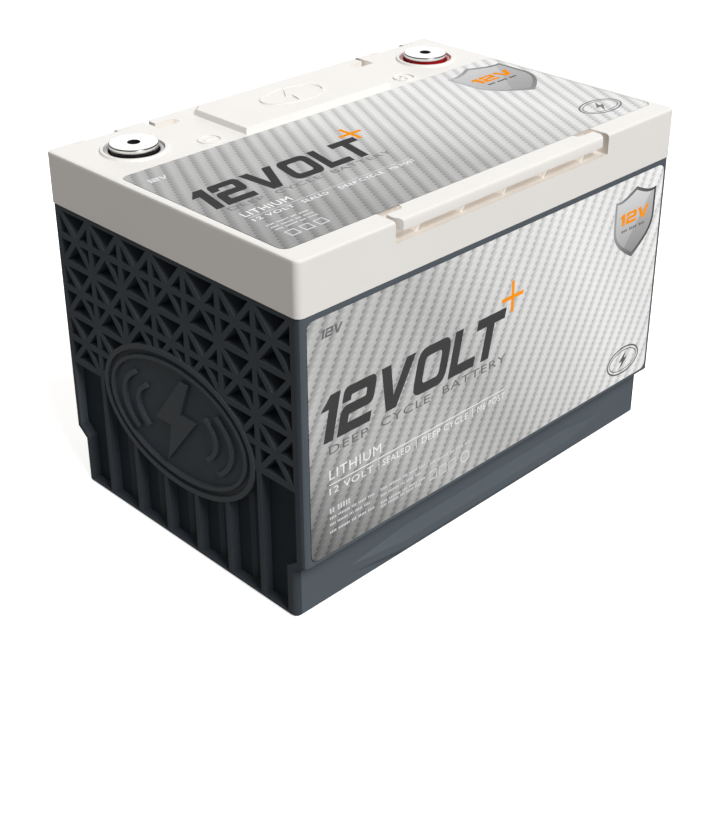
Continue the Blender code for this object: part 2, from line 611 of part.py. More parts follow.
# Terminal openings, the lug reliefs behind them and the recess for the top label
ring_seat = LID_TOP + RING_TOP - RING_T - GAP
holes, grooves = [], []
groove_y = HY - RELIEF_RUN
for sx in (-1, 1):
    holes.append(turned([(TERM_R + FIT, BOSS_BOTTOM - PROUD), (TERM_R + FIT, ring_seat),
                         (COLLAR_IN, ring_seat + 0.01 * MM), (COLLAR_IN, LID_TOP + COLLAR_RISE + PROUD)],
                        sx * TERM_X, TERM_Y))
    holes.append(box(sx * TERM_X - RELIEF_HALF, sx * TERM_X + RELIEF_HALF, HY - RELIEF_RUN, HY + PROUD,
                     LID_TOP - RELIEF_DEEP, LID_TOP + PROUD))
    grooves.append(box(sx * TERM_X - GROOVE_HALF, sx * TERM_X + GROOVE_HALF, groove_y - GROOVE_W / 2,
                       groove_y + GROOVE_W / 2, LID_TOP - GROOVE_DEEP, LID_TOP + PROUD))
label_back = PLATFORM_FRONT - TOP_LABEL_GAP
label_front = -(HY - TOP_LABEL_FRONT)
label_y = (label_back + label_front) / 2
label_hy = (label_back - label_front) / 2
holes.append(stack([rounded(TOP_LABEL_HALF + FIT, label_hy + FIT, LABEL_R + FIT, z, 0.0, label_y)
                    for z in (LID_TOP - PANEL_DEPTH, LID_TOP + PROUD)]))
combine(lid, cutter("lid_openings", holes), "DIFFERENCE")
combine(lid, cutter("cap_grooves", grooves), "DIFFERENCE")

# Labels: thin plastic film, each in its own recess
label_z = [(x, z) for x, z in [(p[0], panel_mid + p[1]) for p in rounded(
    SIDE_LABEL_HALF, (SIDE_LABEL_HIGH - SIDE_LABEL_LOW) / 2, LABEL_R, 0.0)]]
back_of_label = CY - PANEL_DEPTH + GAP
piece("front_label", prism_y(label_z, -back_of_label - LABEL_T, -back_of_label), LABEL_MAT)
piece("back_label", prism_y(label_z, back_of_label, back_of_label + LABEL_T), LABEL_MAT)
label_floor = LID_TOP - PANEL_DEPTH + GAP
piece("top_label", stack([rounded(TOP_LABEL_HALF, label_hy, LABEL_R, z, 0.0, label_y)
                          for z in (label_floor, label_floor + LABEL_T)]), LABEL_MAT)

# Terminals: a flanged post with a flat head, a screw hole on top and a stud below
term_top = LID_TOP + TERM_RISE
flange_top = BOSS_BOTTOM - GAP
flange_low = flange_top - TERM_FLANGE_T
for name, sx in (("negative", -1), ("positive", 1)):
    x = sx * TERM_X
    piece(name + "_terminal", turned([
        (STUD_R - 0.6 * MM, flange_low - STUD_L), (STUD_R, flange_low - STUD_L + 0.6 * MM),
        (STUD_R, flange_low), (TERM_FLANGE_R, flange_low), (TERM_FLANGE_R, flange_top),
        (TERM_NECK_R, flange_top + 0.01 * MM), (TERM_NECK_R, term_top - TERM_HEAD_T - 0.4 * MM),
        (TERM_R, term_top - TERM_HEAD_T), (TERM_R, term_top - TERM_EDGE),
        (TERM_R - TERM_EDGE, term_top), (TERM_BORE_R + TERM_BORE_EDGE, term_top),
        (TERM_BORE_R, term_top - TERM_BORE_EDGE), (TERM_BORE_R, term_top - TERM_BORE_L),
        (0.6 * MM, term_top - TERM_BORE_L - 1.6 * MM)], x, TERM_Y), CHROME_MAT)
    ring_low = ring_seat + GAP
    piece(name + "_terminal_ring", loop([
        circle(RING_IN, ring_low, x, TERM_Y), circle(RING_OUT, ring_low, x, TERM_Y),
        circle(RING_OUT, LID_TOP + RING_TOP - 0.3 * MM, x, TERM_Y),
        circle(RING_OUT - 0.3 * MM, LID_TOP + RING_TOP, x, TERM_Y),
        circle(RING_IN + 0.3 * MM, LID_TOP + RING_TOP, x, TERM_Y),
        circle(RING_IN, LID_TOP + RING_TOP - 0.3 * MM, x, TERM_Y)]),
          BLACK_MAT if sx < 0 else RED_MAT)

# Rubber mat on the case floor under the whole pack
mat_x = PACK_END + GAP + PLATE_T
piece("base_mat", stack([rounded(mat_x, PLATE_HALF_Y, 2.0 * MM, z, steps=2)
                         for z in (FLOOR + GAP, MAT_TOP)]), RUBBER_MAT)

# Cells stand on the mat with a thin spacer between each pair
for k in range(CELLS):
    x = (k - (CELLS - 1) / 2) * PACK_PITCH
    cell = piece("cell_%d" % (k + 1), stack([
        rounded(CELL_T / 2, CELL_W / 2, CELL_R, z, x, 0.0, 3) for z in (CELL_BASE, CELL_TOP)]), CELL_MAT)
    tops = [turned([(CELL_POST_R, CELL_TOP - 1.0 * MM), (CELL_POST_R, POST_TOP)], x, sy * CELL_POST_Y, 24)
            for sy in (-1, 1)]
    tops.append(turned([(VENT_R, CELL_TOP - 1.0 * MM), (VENT_R, CELL_TOP + VENT_H)], x, 0.0, 20))
    combine(cell, cutter("cell_%d_top" % (k + 1), tops), "UNION")
for k in range(CELLS - 1):
    x = (k - (CELLS - 2) / 2) * PACK_PITCH
    piece("cell_spacer_%d" % (k + 1), box(x - SPACER_T / 2, x + SPACER_T / 2, -CELL_W / 2, CELL_W / 2,
                                          CELL_BASE, PLATE_TOP), SPACER_MAT)

# End plates squeeze the stack; four tie rods run through holes in them
plate_in = PACK_END + GAP
rod_low = CELL_BASE + ROD_LOW
rod_high = PLATE_TOP - ROD_HIGH
for name, sx in (("left", -1), ("right", 1)):
    x0, x1 = sorted((sx * plate_in, sx * (plate_in + PLATE_T)))
    plate = piece("end_plate_" + name, box(x0, x1, -PLATE_HALF_Y, PLATE_HALF_Y, CELL_BASE, PLATE_TOP),
                  PLATE_MAT)
    rod_holes = []
    for sy in (-1, 1):
        for z in (rod_low, rod_high):
            hole = [(sy * ROD_Y + (ROD_R + FIT) * math.cos(a), z + (ROD_R + FIT) * math.sin(a))
                    for a in [2 * math.pi * i / 16 for i in range(16)]]
            rod_holes.append(prism_x(hole, x0 - PROUD, x1 + PROUD))
    combine(plate, cutter("end_plate_%s_holes" % name, rod_holes), "DIFFERENCE")


def round_x(r, x, y, z, steps):
    """Circle of radius r facing along X."""
    return [(x, y + r * math.cos(2 * math.pi * i / steps), z + r * math.sin(2 * math.pi * i / steps))
            for i in range(steps)]


plate_out = plate_in + PLATE_T + GAP
rod_end = plate_out + NUT_T + 2.0 * MM
count = 0
for sy in (-1, 1):
    for z in (rod_low, rod_high):
        count += 1
        y = sy * ROD_Y
        piece("tie_rod_%d" % count, stack([
            round_x(ROD_HEAD_R, -plate_out - ROD_HEAD_T, y, z, 12), round_x(ROD_HEAD_R, -plate_out, y, z, 12),
            round_x(ROD_R, -plate_out + 0.01 * MM, y, z, 12), round_x(ROD_R, rod_end, y, z, 12)]),
              STEEL_MAT)
        piece("tie_nut_%d" % count, loop([
            round_x(NUT_R, plate_out, y, z, 12), round_x(NUT_R, plate_out + NUT_T, y, z, 12),
            round_x(ROD_R + GAP, plate_out + NUT_T, y, z, 12), round_x(ROD_R + GAP, plate_out, y, z, 12)]),
              STEEL_MAT)

# Rigid filler blocks hold the pack off the end walls
block_in = rod_end + GAP
block_out = INNER_X - GAP
block_y = BY - SIDE_WALL - GAP
for name, sx in (("left", -1), ("right", 1)):
    x0, x1 = sorted((sx * block_in, sx * block_out))
    piece("filler_block_" + name, box(x0, x1, -block_y + 2.0 * MM, block_y - 2.0 * MM, FLOOR + GAP, PLATE_TOP),
          FILLER_MAT)

# Links join neighbouring cells in series, alternately at the front and the back
link_z = POST_TOP + GAP
for k in range(CELLS - 1):
    x = (k - (CELLS - 2) / 2) * PACK_PITCH
    y = CELL_POST_Y * (1 if k % 2 else -1)
    reach = PACK_PITCH / 2 + CELL_POST_R
    piece("cell_link_%d" % (k + 1), stack([rounded(reach, LINK_W / 2, 2.0 * MM, z, x, y, 2)
                                           for z in (link_z, link_z + LINK_T)]), LINK_MAT)

# Tray across the end plates, with the management board standing on four posts
tray_z = link_z + LINK_T + GAP
tray_x = plate_in + PLATE_T
foot_top = tray_z + TRAY_T
tray_outline = [(-tray_x, PLATE_TOP + GAP), (-tray_x + TRAY_FOOT / 2, PLATE_TOP + GAP),
                (-tray_x + TRAY_FOOT / 2, tray_z), (tray_x - TRAY_FOOT / 2, tray_z),
                (tray_x - TRAY_FOOT / 2, PLATE_TOP + GAP), (tray_x, PLATE_TOP + GAP),
                (tray_x, foot_top), (-tray_x, foot_top)]
piece("board_tray", prism_y(tray_outline, -TRAY_HALF, TRAY_HALF), SPACER_MAT)
board_z = foot_top + BOARD_LIFT
count = 0
for sx in (-1, 1):
    for sy in (-1, 1):
        count += 1
        piece("board_post_%d" % count, turned([(POST_R, foot_top + GAP), (POST_R, board_z - GAP)],
              sx * (BOARD_L / 2 - 6.0 * MM), sy * (TRAY_HALF - POST_R - 1.5 * MM), 12), SPACER_MAT)
piece("management_board", stack([rounded(BOARD_L / 2, BOARD_W / 2, 2.5 * MM, z, steps=2)
                                 for z in (board_z, board_z + BOARD_T)]), BOARD_MAT)
chip_z = board_z + BOARD_T + GAP
piece("board_heat_bar", box(-HEAT_BAR_L / 2, HEAT_BAR_L / 2, 12.0 * MM, 12.0 * MM + HEAT_BAR_W,
                            chip_z, chip_z + HEAT_BAR_H), PLATE_MAT)
piece("board_plug", box(-PLUG_L / 2, PLUG_L / 2, -22.0 * MM, -22.0 * MM + PLUG_W,
                        chip_z, chip_z + PLUG_H), PLUG_MAT)

# Copper leads climb from the end cells' free posts to the studs under the terminals.
# The first and last cells leave opposite posts free, so one lead crosses the pack.
eye_z = flange_low - GAP
plate_z = eye_z - LEAD_T
for name, sx, start_y in (("negative", -1, CELL_POST_Y), ("positive", 1, -CELL_POST_Y)):
    start = (CELLS - 1) / 2 * PACK_PITCH - CELL_POST_R
    riser = TERM_X - TERM_FLANGE_R - LEAD_RISER_BACK
    end = TERM_X + STUD_R + 7.0 * MM
    side = start_y - LEAD_W / 2
    step = [(start, link_z), (riser + LEAD_T, link_z), (riser + LEAD_T, plate_z + LEAD_T / 2),
            (riser, plate_z + LEAD_T / 2), (riser, link_z + LEAD_T), (start, link_z + LEAD_T)]
    lead = piece(name + "_lead", prism_y([(sx * x, z) for x, z in step], side, side + LEAD_W), LEAD_MAT)
    lip = 0.5 * MM
    strap = [(riser - lip, side - lip), (riser + LEAD_W, side - lip),
             (riser + LEAD_W, TERM_Y - LEAD_W / 2), (end, TERM_Y - LEAD_W / 2),
             (end, TERM_Y + LEAD_W / 2), (riser - lip, TERM_Y + LEAD_W / 2)]
    top = cutter(name + "_lead_strap", [prism_z([(sx * x, y) for x, y in strap], plate_z, eye_z)])
    combine(lead, top, "UNION")
    hole = cutter(name + "_lead_hole", [turned([(STUD_R + FIT, plate_z - PROUD),
                                                (STUD_R + FIT, eye_z + PROUD)], sx * TERM_X, TERM_Y, 24)])
    combine(lead, hole, "DIFFERENCE")
    nut_top = plate_z - GAP
    nut_in = (STUD_R + GAP) / math.cos(math.pi / 6)
    piece(name + "_stud_nut", loop([circle(r, z, sx * TERM_X, TERM_Y, 6) for r, z in (
        (STUD_NUT_R, nut_top - NUT_T), (STUD_NUT_R, nut_top), (nut_in, nut_top),
        (nut_in, nut_top - NUT_T))]), STEEL_MAT)
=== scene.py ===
# A sealed deep cycle battery for a caravan: ribbed slate case, off-white lid with lift
# bars, two screw terminals in coloured rings, and woven-look silver labels on three sides.
import math

import bmesh
import bpy
import numpy as np
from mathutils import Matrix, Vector


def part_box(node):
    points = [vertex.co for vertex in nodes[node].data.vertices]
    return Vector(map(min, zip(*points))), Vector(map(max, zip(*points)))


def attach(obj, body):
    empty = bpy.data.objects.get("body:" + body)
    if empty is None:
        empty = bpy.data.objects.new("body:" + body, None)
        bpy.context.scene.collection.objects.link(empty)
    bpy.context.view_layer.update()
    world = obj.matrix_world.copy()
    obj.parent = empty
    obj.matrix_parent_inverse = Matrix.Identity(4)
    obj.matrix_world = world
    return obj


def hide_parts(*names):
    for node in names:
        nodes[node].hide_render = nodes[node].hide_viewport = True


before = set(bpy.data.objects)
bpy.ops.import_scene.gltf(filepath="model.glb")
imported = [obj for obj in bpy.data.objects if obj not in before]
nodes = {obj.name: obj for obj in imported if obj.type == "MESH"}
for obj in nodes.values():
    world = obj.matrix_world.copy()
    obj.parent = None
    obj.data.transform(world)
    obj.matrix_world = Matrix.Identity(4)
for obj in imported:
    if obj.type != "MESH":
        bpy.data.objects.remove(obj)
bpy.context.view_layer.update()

MM = 0.001
scene = bpy.context.scene


# ---------------------------------------- case
# The case: one deep injection-moulded tub of slate ABS, latticed and ribbed on its ends,
# with a hold-down ledge along each long side. Its skin is fine spark-eroded texture.
# Painted shade: the ends, the deep floors, the ledge's slope and the sunken plaque field take
# darker copies of the slate.
CASE_SLATE = (0.088, 0.106, 0.124)
# the rounded edges take a lighter, glossier slate: rubbed wear and a painted highlight
CASE_EDGE_WEAR_HIGHLIGHT = (0.105, 0.124, 0.143)
# the ends are painted darker than the sides, as shade
END_SHADE_SLATE = (0.048, 0.058, 0.069)
# the deep floors of the bays and of the lattice's pockets are painted dark as shade, the pockets
# darkest
BAY_SHADE_SLATE = (0.023, 0.030, 0.037)
POCKET_SHADE_SLATE = (0.006, 0.007, 0.009)
# the ledge's upward slope is painted a little darker, as shade
LEDGE_SHADE_SLATE = (0.075, 0.090, 0.105)
POLISHED_SLATE = (0.040, 0.050, 0.060)
# the plaque's sunken field is painted darker, as shade in the recess
FIELD_SHADE_SLATE = (0.034, 0.042, 0.050)
CASE_ROUGH = 0.46
CASE_SHINE = 0.15
CASE_GRAIN = 0.35 * MM
CASE_GRAIN_DEEP = 0.02 * MM
CASE_ROUNDING = 0.28 * MM
WELD = 0.002 * MM  # corners nearer to each other than this are one corner
FLATNESS = math.radians(0.6)  # faces this near to one plane are one face
# END_BAND and END_WIDE also bound the ends' painted shade
END_BAND = 9.5 * MM  # the coarser texture of the ends reaches this far in,
END_WIDE = 82.0 * MM  # and past this width only on faces that don't look sideways
POCKET_FLOOR = 3.5 * MM  # floors deeper than this are painted darker, as shade in the recesses
LATTICE_FOOT = 69.5 * MM  # the lattice stands above this height, the tall bays below it
LEDGE_HIGH = 16.5 * MM  # the slope over the hold-down ledge lies below this height
PLAQUE_LINES = 0.1 * MM  # the plaque's raised lines stand this near the end of the case,
PLAQUE_SINK = 1.3 * MM  # and its field lies this far in from it, give or take a little
PLAQUE_GIVE = 0.3 * MM
PLAQUE_TOP = 100.0 * MM
SQUARE_ON = 0.9  # the least part of a normal that makes a face square to an axis
SIDEWAYS = 0.75  # and the least that makes it look sideways
LEAST_SLOPE, MOST_SLOPE = 0.15, 0.98
LEDGE_TURN = 0.3  # the slopes of the ledge turn at least this far to the side


def blank(name):
    """A new node material: the material, its tree and its shader."""
    made = bpy.data.materials.new(name)
    made.use_nodes = True
    return made, made.node_tree, made.node_tree.nodes["Principled BSDF"]


def object_place(tree):
    """Coordinates in metres that stay with the piece."""
    return tree.nodes.new("ShaderNodeTexCoord").outputs["Object"]


def calc(tree, operation, *values, clamp=False):
    """One arithmetic step on numbers or sockets."""
    step = tree.nodes.new("ShaderNodeMath")
    step.operation = operation
    step.use_clamp = clamp
    for socket, value in zip(step.inputs, values):
        if isinstance(value, (int, float)):
            socket.default_value = value
        else:
            tree.links.new(value, socket)
    return step.outputs[0]


def mottle(tree, place, size, detail, low, high):
    """Noise of that size in metres, with its middle band stretched to run from low to high."""
    noise = tree.nodes.new("ShaderNodeTexNoise")
    noise.inputs["Scale"].default_value = 1.0 / size
    noise.inputs["Detail"].default_value = detail
    tree.links.new(place, noise.inputs["Vector"])
    spread = tree.nodes.new("ShaderNodeMapRange")
    spread.inputs["From Min"].default_value = 0.3
    spread.inputs["From Max"].default_value = 0.7
    spread.inputs["To Min"].default_value = low
    spread.inputs["To Max"].default_value = high
    tree.links.new(noise.outputs["Fac"], spread.inputs["Value"])
    return spread.outputs["Result"]


def tinted(tree, colour, factor):
    """The colour times a factor that varies over the surface."""
    scaled = tree.nodes.new("ShaderNodeVectorMath")
    scaled.operation = "SCALE"
    scaled.inputs[0].default_value = colour
    tree.links.new(factor, scaled.inputs["Scale"])
    return scaled.outputs["Vector"]


def raised(tree, height, depth, shader):
    """Bump of that depth in metres on the shader."""
    bump = tree.nodes.new("ShaderNodeBump")
    bump.inputs["Strength"].default_value = 1.0
    bump.inputs["Distance"].default_value = depth
    tree.links.new(height, bump.inputs["Height"])
    tree.links.new(bump.outputs["Normal"], shader.inputs["Normal"])


def coat(tree, shader, colour, rough, shine, metal=0.0):
    """Gives the shader a colour and a roughness that vary, and one specular and metalness."""
    tree.links.new(colour, shader.inputs["Base Color"])
    tree.links.new(rough, shader.inputs["Roughness"])
    shader.inputs["Specular IOR Level"].default_value = shine
    shader.inputs["Metallic"].default_value = metal


def finish(name, colour, rough, grain, deep, metal=0.0, shine=0.5, spread=0.05, patch=30 * MM):
    """A worked surface: its tone drifts in patches, its roughness in smaller ones, and a
    fine grain stands up by deep. Metalness and specular are the same all over."""
    made, tree, shader = blank(name)
    place = object_place(tree)
    tone = mottle(tree, place, patch, 3.0, 1.0 - spread, 1.0 + spread)
    speck = mottle(tree, place, grain * 2.0, 2.0, 1.0 - spread / 2, 1.0 + spread / 2)
    coat(tree, shader, tinted(tree, colour, calc(tree, "MULTIPLY", tone, speck)),
         mottle(tree, place, patch / 4, 2.0, rough * 0.88, rough * 1.12), shine, metal)
    raised(tree, mottle(tree, place, grain, 2.0, 0.0, 1.0), deep, shader)
    return made


def eased(piece, width, sharp):
    """Small rounds on the edges sharper than sharp, so that they catch the light."""
    bevel = piece.modifiers.new("edges", "BEVEL")
    bevel.width = width
    bevel.segments = 2
    bevel.limit_method = "ANGLE"
    bevel.angle_limit = sharp
    flat = piece.modifiers.new("flat_faces", "WEIGHTED_NORMAL")
    flat.weight = 100
    return bevel, flat


def softened_copy(node, name, skin, edge, rounding, sharp=math.radians(33)):
    """A merged copy of a CAD node, with the skin in slot 0 and its edges rounded over by a
    bevel whose own faces take slot 1. It stands for the node."""
    mesh = nodes[node].data.copy()
    mesh.name = name
    work = bmesh.new()
    work.from_mesh(mesh)
    bmesh.ops.remove_doubles(work, verts=work.verts, dist=WELD)
    bmesh.ops.dissolve_degenerate(work, edges=work.edges, dist=WELD)
    bmesh.ops.dissolve_limit(work, verts=work.verts, edges=work.edges, angle_limit=FLATNESS)
    work.to_mesh(mesh)
    work.free()
    mesh.materials.clear()
    mesh.materials.append(skin)
    mesh.materials.append(edge)
    mesh.polygons.foreach_set("material_index", np.zeros(len(mesh.polygons), np.int32))
    mesh.polygons.foreach_set("use_smooth", np.ones(len(mesh.polygons), bool))
    made = bpy.data.objects.new(name, mesh)
    scene.collection.objects.link(made)
    bevel, flat = eased(made, rounding, sharp)
    bevel.material = 1
    flat.keep_sharp = True
    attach(made, "root")
    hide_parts(node)
    return made


def face_places(piece):
    """The middle and the outward normal of each face of the piece, one row for each face."""
    found = []
    for measure in ("center", "normal"):
        values = np.empty(len(piece.data.polygons) * 3, np.float32)
        piece.data.polygons.foreach_get(measure, values)
        found.append(values.reshape(-1, 3))
    return found


def share_out(piece, slots):
    """Gives each face of the piece the material slot of that number."""
    piece.data.polygons.foreach_set("material_index", slots.astype(np.int32))


case_skin = finish("case_slate_abs", CASE_SLATE, CASE_ROUGH, CASE_GRAIN, CASE_GRAIN_DEEP,
                   shine=CASE_SHINE, spread=0.03)
case_edge_wear_highlight = finish("case_slate_edge_wear_and_highlight", CASE_EDGE_WEAR_HIGHLIGHT, CASE_ROUGH * 0.85, CASE_GRAIN,
                   CASE_GRAIN_DEEP / 2, shine=CASE_SHINE, spread=0.08, patch=6 * MM)
case = softened_copy("case", "moulded_case", case_skin, case_edge_wear_highlight, CASE_ROUNDING)
for part_skin in (
        finish("case_slate_polished", POLISHED_SLATE, 0.30, CASE_GRAIN, CASE_GRAIN_DEEP / 8,
               shine=0.22, spread=0.04),
        finish("case_slate_end_painted_shade", END_SHADE_SLATE, CASE_ROUGH * 1.1, CASE_GRAIN * 1.6,
               CASE_GRAIN_DEEP * 1.5, shine=0.10, spread=0.04),
        finish("case_slate_deep_painted_shade", BAY_SHADE_SLATE, 0.6, CASE_GRAIN, CASE_GRAIN_DEEP, shine=0.06),
        finish("case_slate_pocket_painted_shade", POCKET_SHADE_SLATE, 0.7, CASE_GRAIN, CASE_GRAIN_DEEP, shine=0.03),
        finish("case_slate_ledge_painted_shade", LEDGE_SHADE_SLATE, CASE_ROUGH, CASE_GRAIN, CASE_GRAIN_DEEP,
               shine=CASE_SHINE, spread=0.03),
        finish("case_slate_plaque_field_painted_shade", FIELD_SHADE_SLATE, 0.42, CASE_GRAIN, CASE_GRAIN_DEEP,
               shine=0.12)):
    case.data.materials.append(part_skin)
# END, BAY, POCKET, LEDGE and FIELD are the slots of the painted shade
MAIN, POLISHED, END, BAY, POCKET, LEDGE, FIELD = 0, 2, 3, 4, 5, 6, 7
middle, facing = face_places(case)
sloped_up = (facing[:, 2] > LEAST_SLOPE) & (facing[:, 2] < MOST_SLOPE)
middle, facing = np.abs(middle), np.abs(facing)
out, end = middle[:, 0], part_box("case")[1].x
endways = facing[:, 0] > SQUARE_ON
at_end = (out > end - END_BAND) & ((middle[:, 1] < END_WIDE) | (facing[:, 1] < SIDEWAYS))
shaded_deep_floor = at_end & endways & (out < end - POCKET_FLOOR)
on_ledge = sloped_up & (facing[:, 1] > LEDGE_TURN) & (middle[:, 2] < LEDGE_HIGH)
in_plaque = endways & (np.abs(out - end + PLAQUE_SINK) < PLAQUE_GIVE) & (middle[:, 2] < PLAQUE_TOP)
share_out(case, np.select(
    [in_plaque, shaded_deep_floor & (middle[:, 2] > LATTICE_FOOT), shaded_deep_floor,
     out > end - PLAQUE_LINES, at_end, on_ledge],
    [FIELD, POCKET, BAY, POLISHED, END, LEDGE], MAIN))


# ---------------------------------------- cell pack
# Five flat lithium-titanate cells in aluminium cans on a rubber mat, with nylon spacers
# between them, clamped by two anodised plates and four zinc-plated rods with nuts.
def refinish(names, made):
    """Gives CAD nodes whose shape is kept a better finish."""
    for name in names:
        node = nodes[name]
        node.data.materials.clear()
        node.data.materials.append(made)


CELLS = 5
RODS = 4
refinish([f"cell_{n}" for n in range(1, CELLS + 1)],
         finish("cell_can_drawn_aluminium", (0.70, 0.71, 0.72), 0.32, 0.25 * MM, 0.004 * MM,
                metal=1.0))
refinish(["base_mat"],
         finish("mat_black_rubber", (0.030, 0.030, 0.031), 0.85, 0.6 * MM, 0.05 * MM))
refinish([f"cell_spacer_{n}" for n in range(1, CELLS)],
         finish("spacer_natural_nylon", (0.62, 0.60, 0.55), 0.58, 0.5 * MM, 0.02 * MM))
refinish(["end_plate_left", "end_plate_right"],
         finish("plate_grey_anodised", (0.22, 0.23, 0.25), 0.40, 0.2 * MM, 0.006 * MM, metal=1.0))
refinish([f"tie_{part}_{n}" for part in ("rod", "nut") for n in range(1, RODS + 1)],
         finish("rod_zinc_plated_steel", (0.58, 0.58, 0.57), 0.34, 0.2 * MM, 0.006 * MM,
                metal=1.0, spread=0.09))
refinish([f"cell_link_{n}" for n in range(1, CELLS)],
         finish("link_rolled_aluminium", (0.80, 0.80, 0.80), 0.28, 0.3 * MM, 0.004 * MM,
                metal=1.0))


# ---------------------------------------- management board
# The board that balances the cells: green glass-epoxy on four posts over a moulded tray,
# with an ivory socket and a finned aluminium bar that carries its heat away.
refinish(["management_board"],
         finish("board_green_epoxy", (0.020, 0.150, 0.065), 0.40, 0.8 * MM, 0.01 * MM,
                spread=0.12, patch=4 * MM))
refinish(["board_tray"] + [f"board_post_{n}" for n in range(1, RODS + 1)],
         finish("tray_grey_nylon", (0.30, 0.30, 0.30), 0.55, 0.5 * MM, 0.02 * MM))
refinish(["board_heat_bar"],
         finish("heat_bar_extruded", (0.62, 0.63, 0.64), 0.36, 0.2 * MM, 0.006 * MM, metal=1.0))
refinish(["board_plug"],
         finish("plug_ivory_nylon", (0.75, 0.72, 0.62), 0.48, 0.4 * MM, 0.01 * MM))


# ---------------------------------------- leads and fillers
# Copper straps folded up from the end cells to the studs, held by zinc nuts, and two
# blocks of rigid grey foam that keep the pack from shifting along the case.
refinish(["negative_lead", "positive_lead"],
         finish("lead_rolled_copper", (0.72, 0.38, 0.22), 0.30, 0.3 * MM, 0.004 * MM,
                metal=1.0, spread=0.1))
refinish(["negative_stud_nut", "positive_stud_nut"],
         finish("nut_zinc_plated", (0.60, 0.60, 0.58), 0.32, 0.2 * MM, 0.006 * MM,
                metal=1.0, spread=0.08))
refinish(["filler_block_left", "filler_block_right"],
         finish("filler_rigid_foam", (0.16, 0.16, 0.17), 0.95, 1.2 * MM, 0.15 * MM, spread=0.12))


# ---------------------------------------- lid
# The lid: off-white ABS pressed over the case, with a lift bar and slots along each long
# side, bosses round the terminals and a raised platform with a moulded emblem.
LID_WHITE = (0.800, 0.785, 0.762)
# the rounded edges take a lighter, glossier white: a painted highlight
LID_EDGE_HIGHLIGHT = (0.830, 0.818, 0.800)
LID_ROUNDING = 0.45 * MM
LID_TOP = 181.8 * MM
BAY_HALF = 74.1 * MM  # the bays' walls are painted a darker beige with a warm glow: painted shade and painted fill light
BAY_DEEP = 15.2 * MM
BAY_FLOOR = 171.3 * MM
BAR_HALF = 71.6 * MM  # the lift bar across each bay is not painted so
BAR_DEEP = 8.2 * MM
BAR_FOOT = 176.5 * MM
GUSSET_HALF = 70.0 * MM  # the gussets stand within this of the middle
GUSSET_LEAN, GUSSET_TILT = 0.5, 0.2  # and their sloping edges face out and up by these
SIDE_SKIN = 0.2 * MM  # a face this near the lid's side, or its top, is not of a bay
TOP_SKIN = 0.1 * MM
# The bays and gussets in the lid's shade are painted: a darker beige, and an emission that stands
# in for fill light.
BAY_PAINTED_LIGHT_COLOUR = (1.0, 0.92, 0.84)
BAY_SHADE_BEIGE = (0.63, 0.59, 0.54)
BAY_PAINTED_LIGHT = 0.25
GUSSET_PAINTED_LIGHT = 0.30
BAY_LIT = 1.5 * MM  # the outermost strip is lit well enough from outside
BAY_FADE = 7.0 * MM
GUSSET_FADE = 1.0 * MM
lid_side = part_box("lid")[1].y
lid_skin = finish("lid_white_abs", LID_WHITE, 0.38, 0.30 * MM, 0.006 * MM,
                  shine=0.35, spread=0.012, patch=60 * MM)
lid_edge_highlight = finish("lid_white_edge_highlight", LID_EDGE_HIGHLIGHT, 0.30, 0.30 * MM, 0.003 * MM,
                  shine=0.40, spread=0.03, patch=8 * MM)


def axes(tree, place):
    """The x, y and z of a place, by name."""
    split = tree.nodes.new("ShaderNodeSeparateXYZ")
    tree.links.new(place, split.inputs["Vector"])
    return split.outputs


def painted_glow(name, colour, light, lit, fade):
    """Walls in shade, painted with a warm glow that stands in for fill light: the glow grows from
    none at a depth lit from the lid's long side to its full value a distance fade further in."""
    made, tree, shader = blank(name)
    place = object_place(tree)
    split = axes(tree, place)
    tree.links.new(tinted(tree, colour, mottle(tree, place, 20 * MM, 2.0, 0.98, 1.02)),
                   shader.inputs["Base Color"])
    inward = calc(tree, "SUBTRACT", lid_side - lit, calc(tree, "ABSOLUTE", split["Y"]))
    tree.links.new(calc(tree, "MULTIPLY", calc(tree, "DIVIDE", inward, fade, clamp=True), light),
                   shader.inputs["Emission Strength"])
    shader.inputs["Emission Color"].default_value = BAY_PAINTED_LIGHT_COLOUR + (1.0,)
    shader.inputs["Roughness"].default_value = 0.42
    shader.inputs["Specular IOR Level"].default_value = 0.3
    return made


lid = softened_copy("lid", "moulded_lid", lid_skin, lid_edge_highlight, LID_ROUNDING)
lid.data.materials.append(painted_glow("lid_white_bays_painted_light", BAY_SHADE_BEIGE, BAY_PAINTED_LIGHT, BAY_LIT, BAY_FADE))
lid.data.materials.append(painted_glow("lid_white_gussets_painted_light", LID_WHITE, GUSSET_PAINTED_LIGHT, 0.0, GUSSET_FADE))
# these two slots carry the painted glow
BAY_WALLS, GUSSETS = 2, 3
middle, facing = (np.abs(rows) for rows in face_places(lid))
along, aside, up = middle.T
in_bay = (along < BAY_HALF) & (aside > lid_side - BAY_DEEP) & (aside < lid_side - SIDE_SKIN)
in_bay &= (up > BAY_FLOOR) & (up <= LID_TOP - TOP_SKIN)
in_bay &= ~((along < BAR_HALF) & (aside > lid_side - BAR_DEEP) & (up > BAR_FOOT))
leaning = (facing[:, 1] > GUSSET_LEAN) & (facing[:, 2] > GUSSET_TILT)
of_gusset = (along < GUSSET_HALF) & ((facing[:, 0] > SQUARE_ON) | leaning)
share_out(lid, np.select([in_bay & of_gusset, in_bay], [GUSSETS, BAY_WALLS], MAIN))


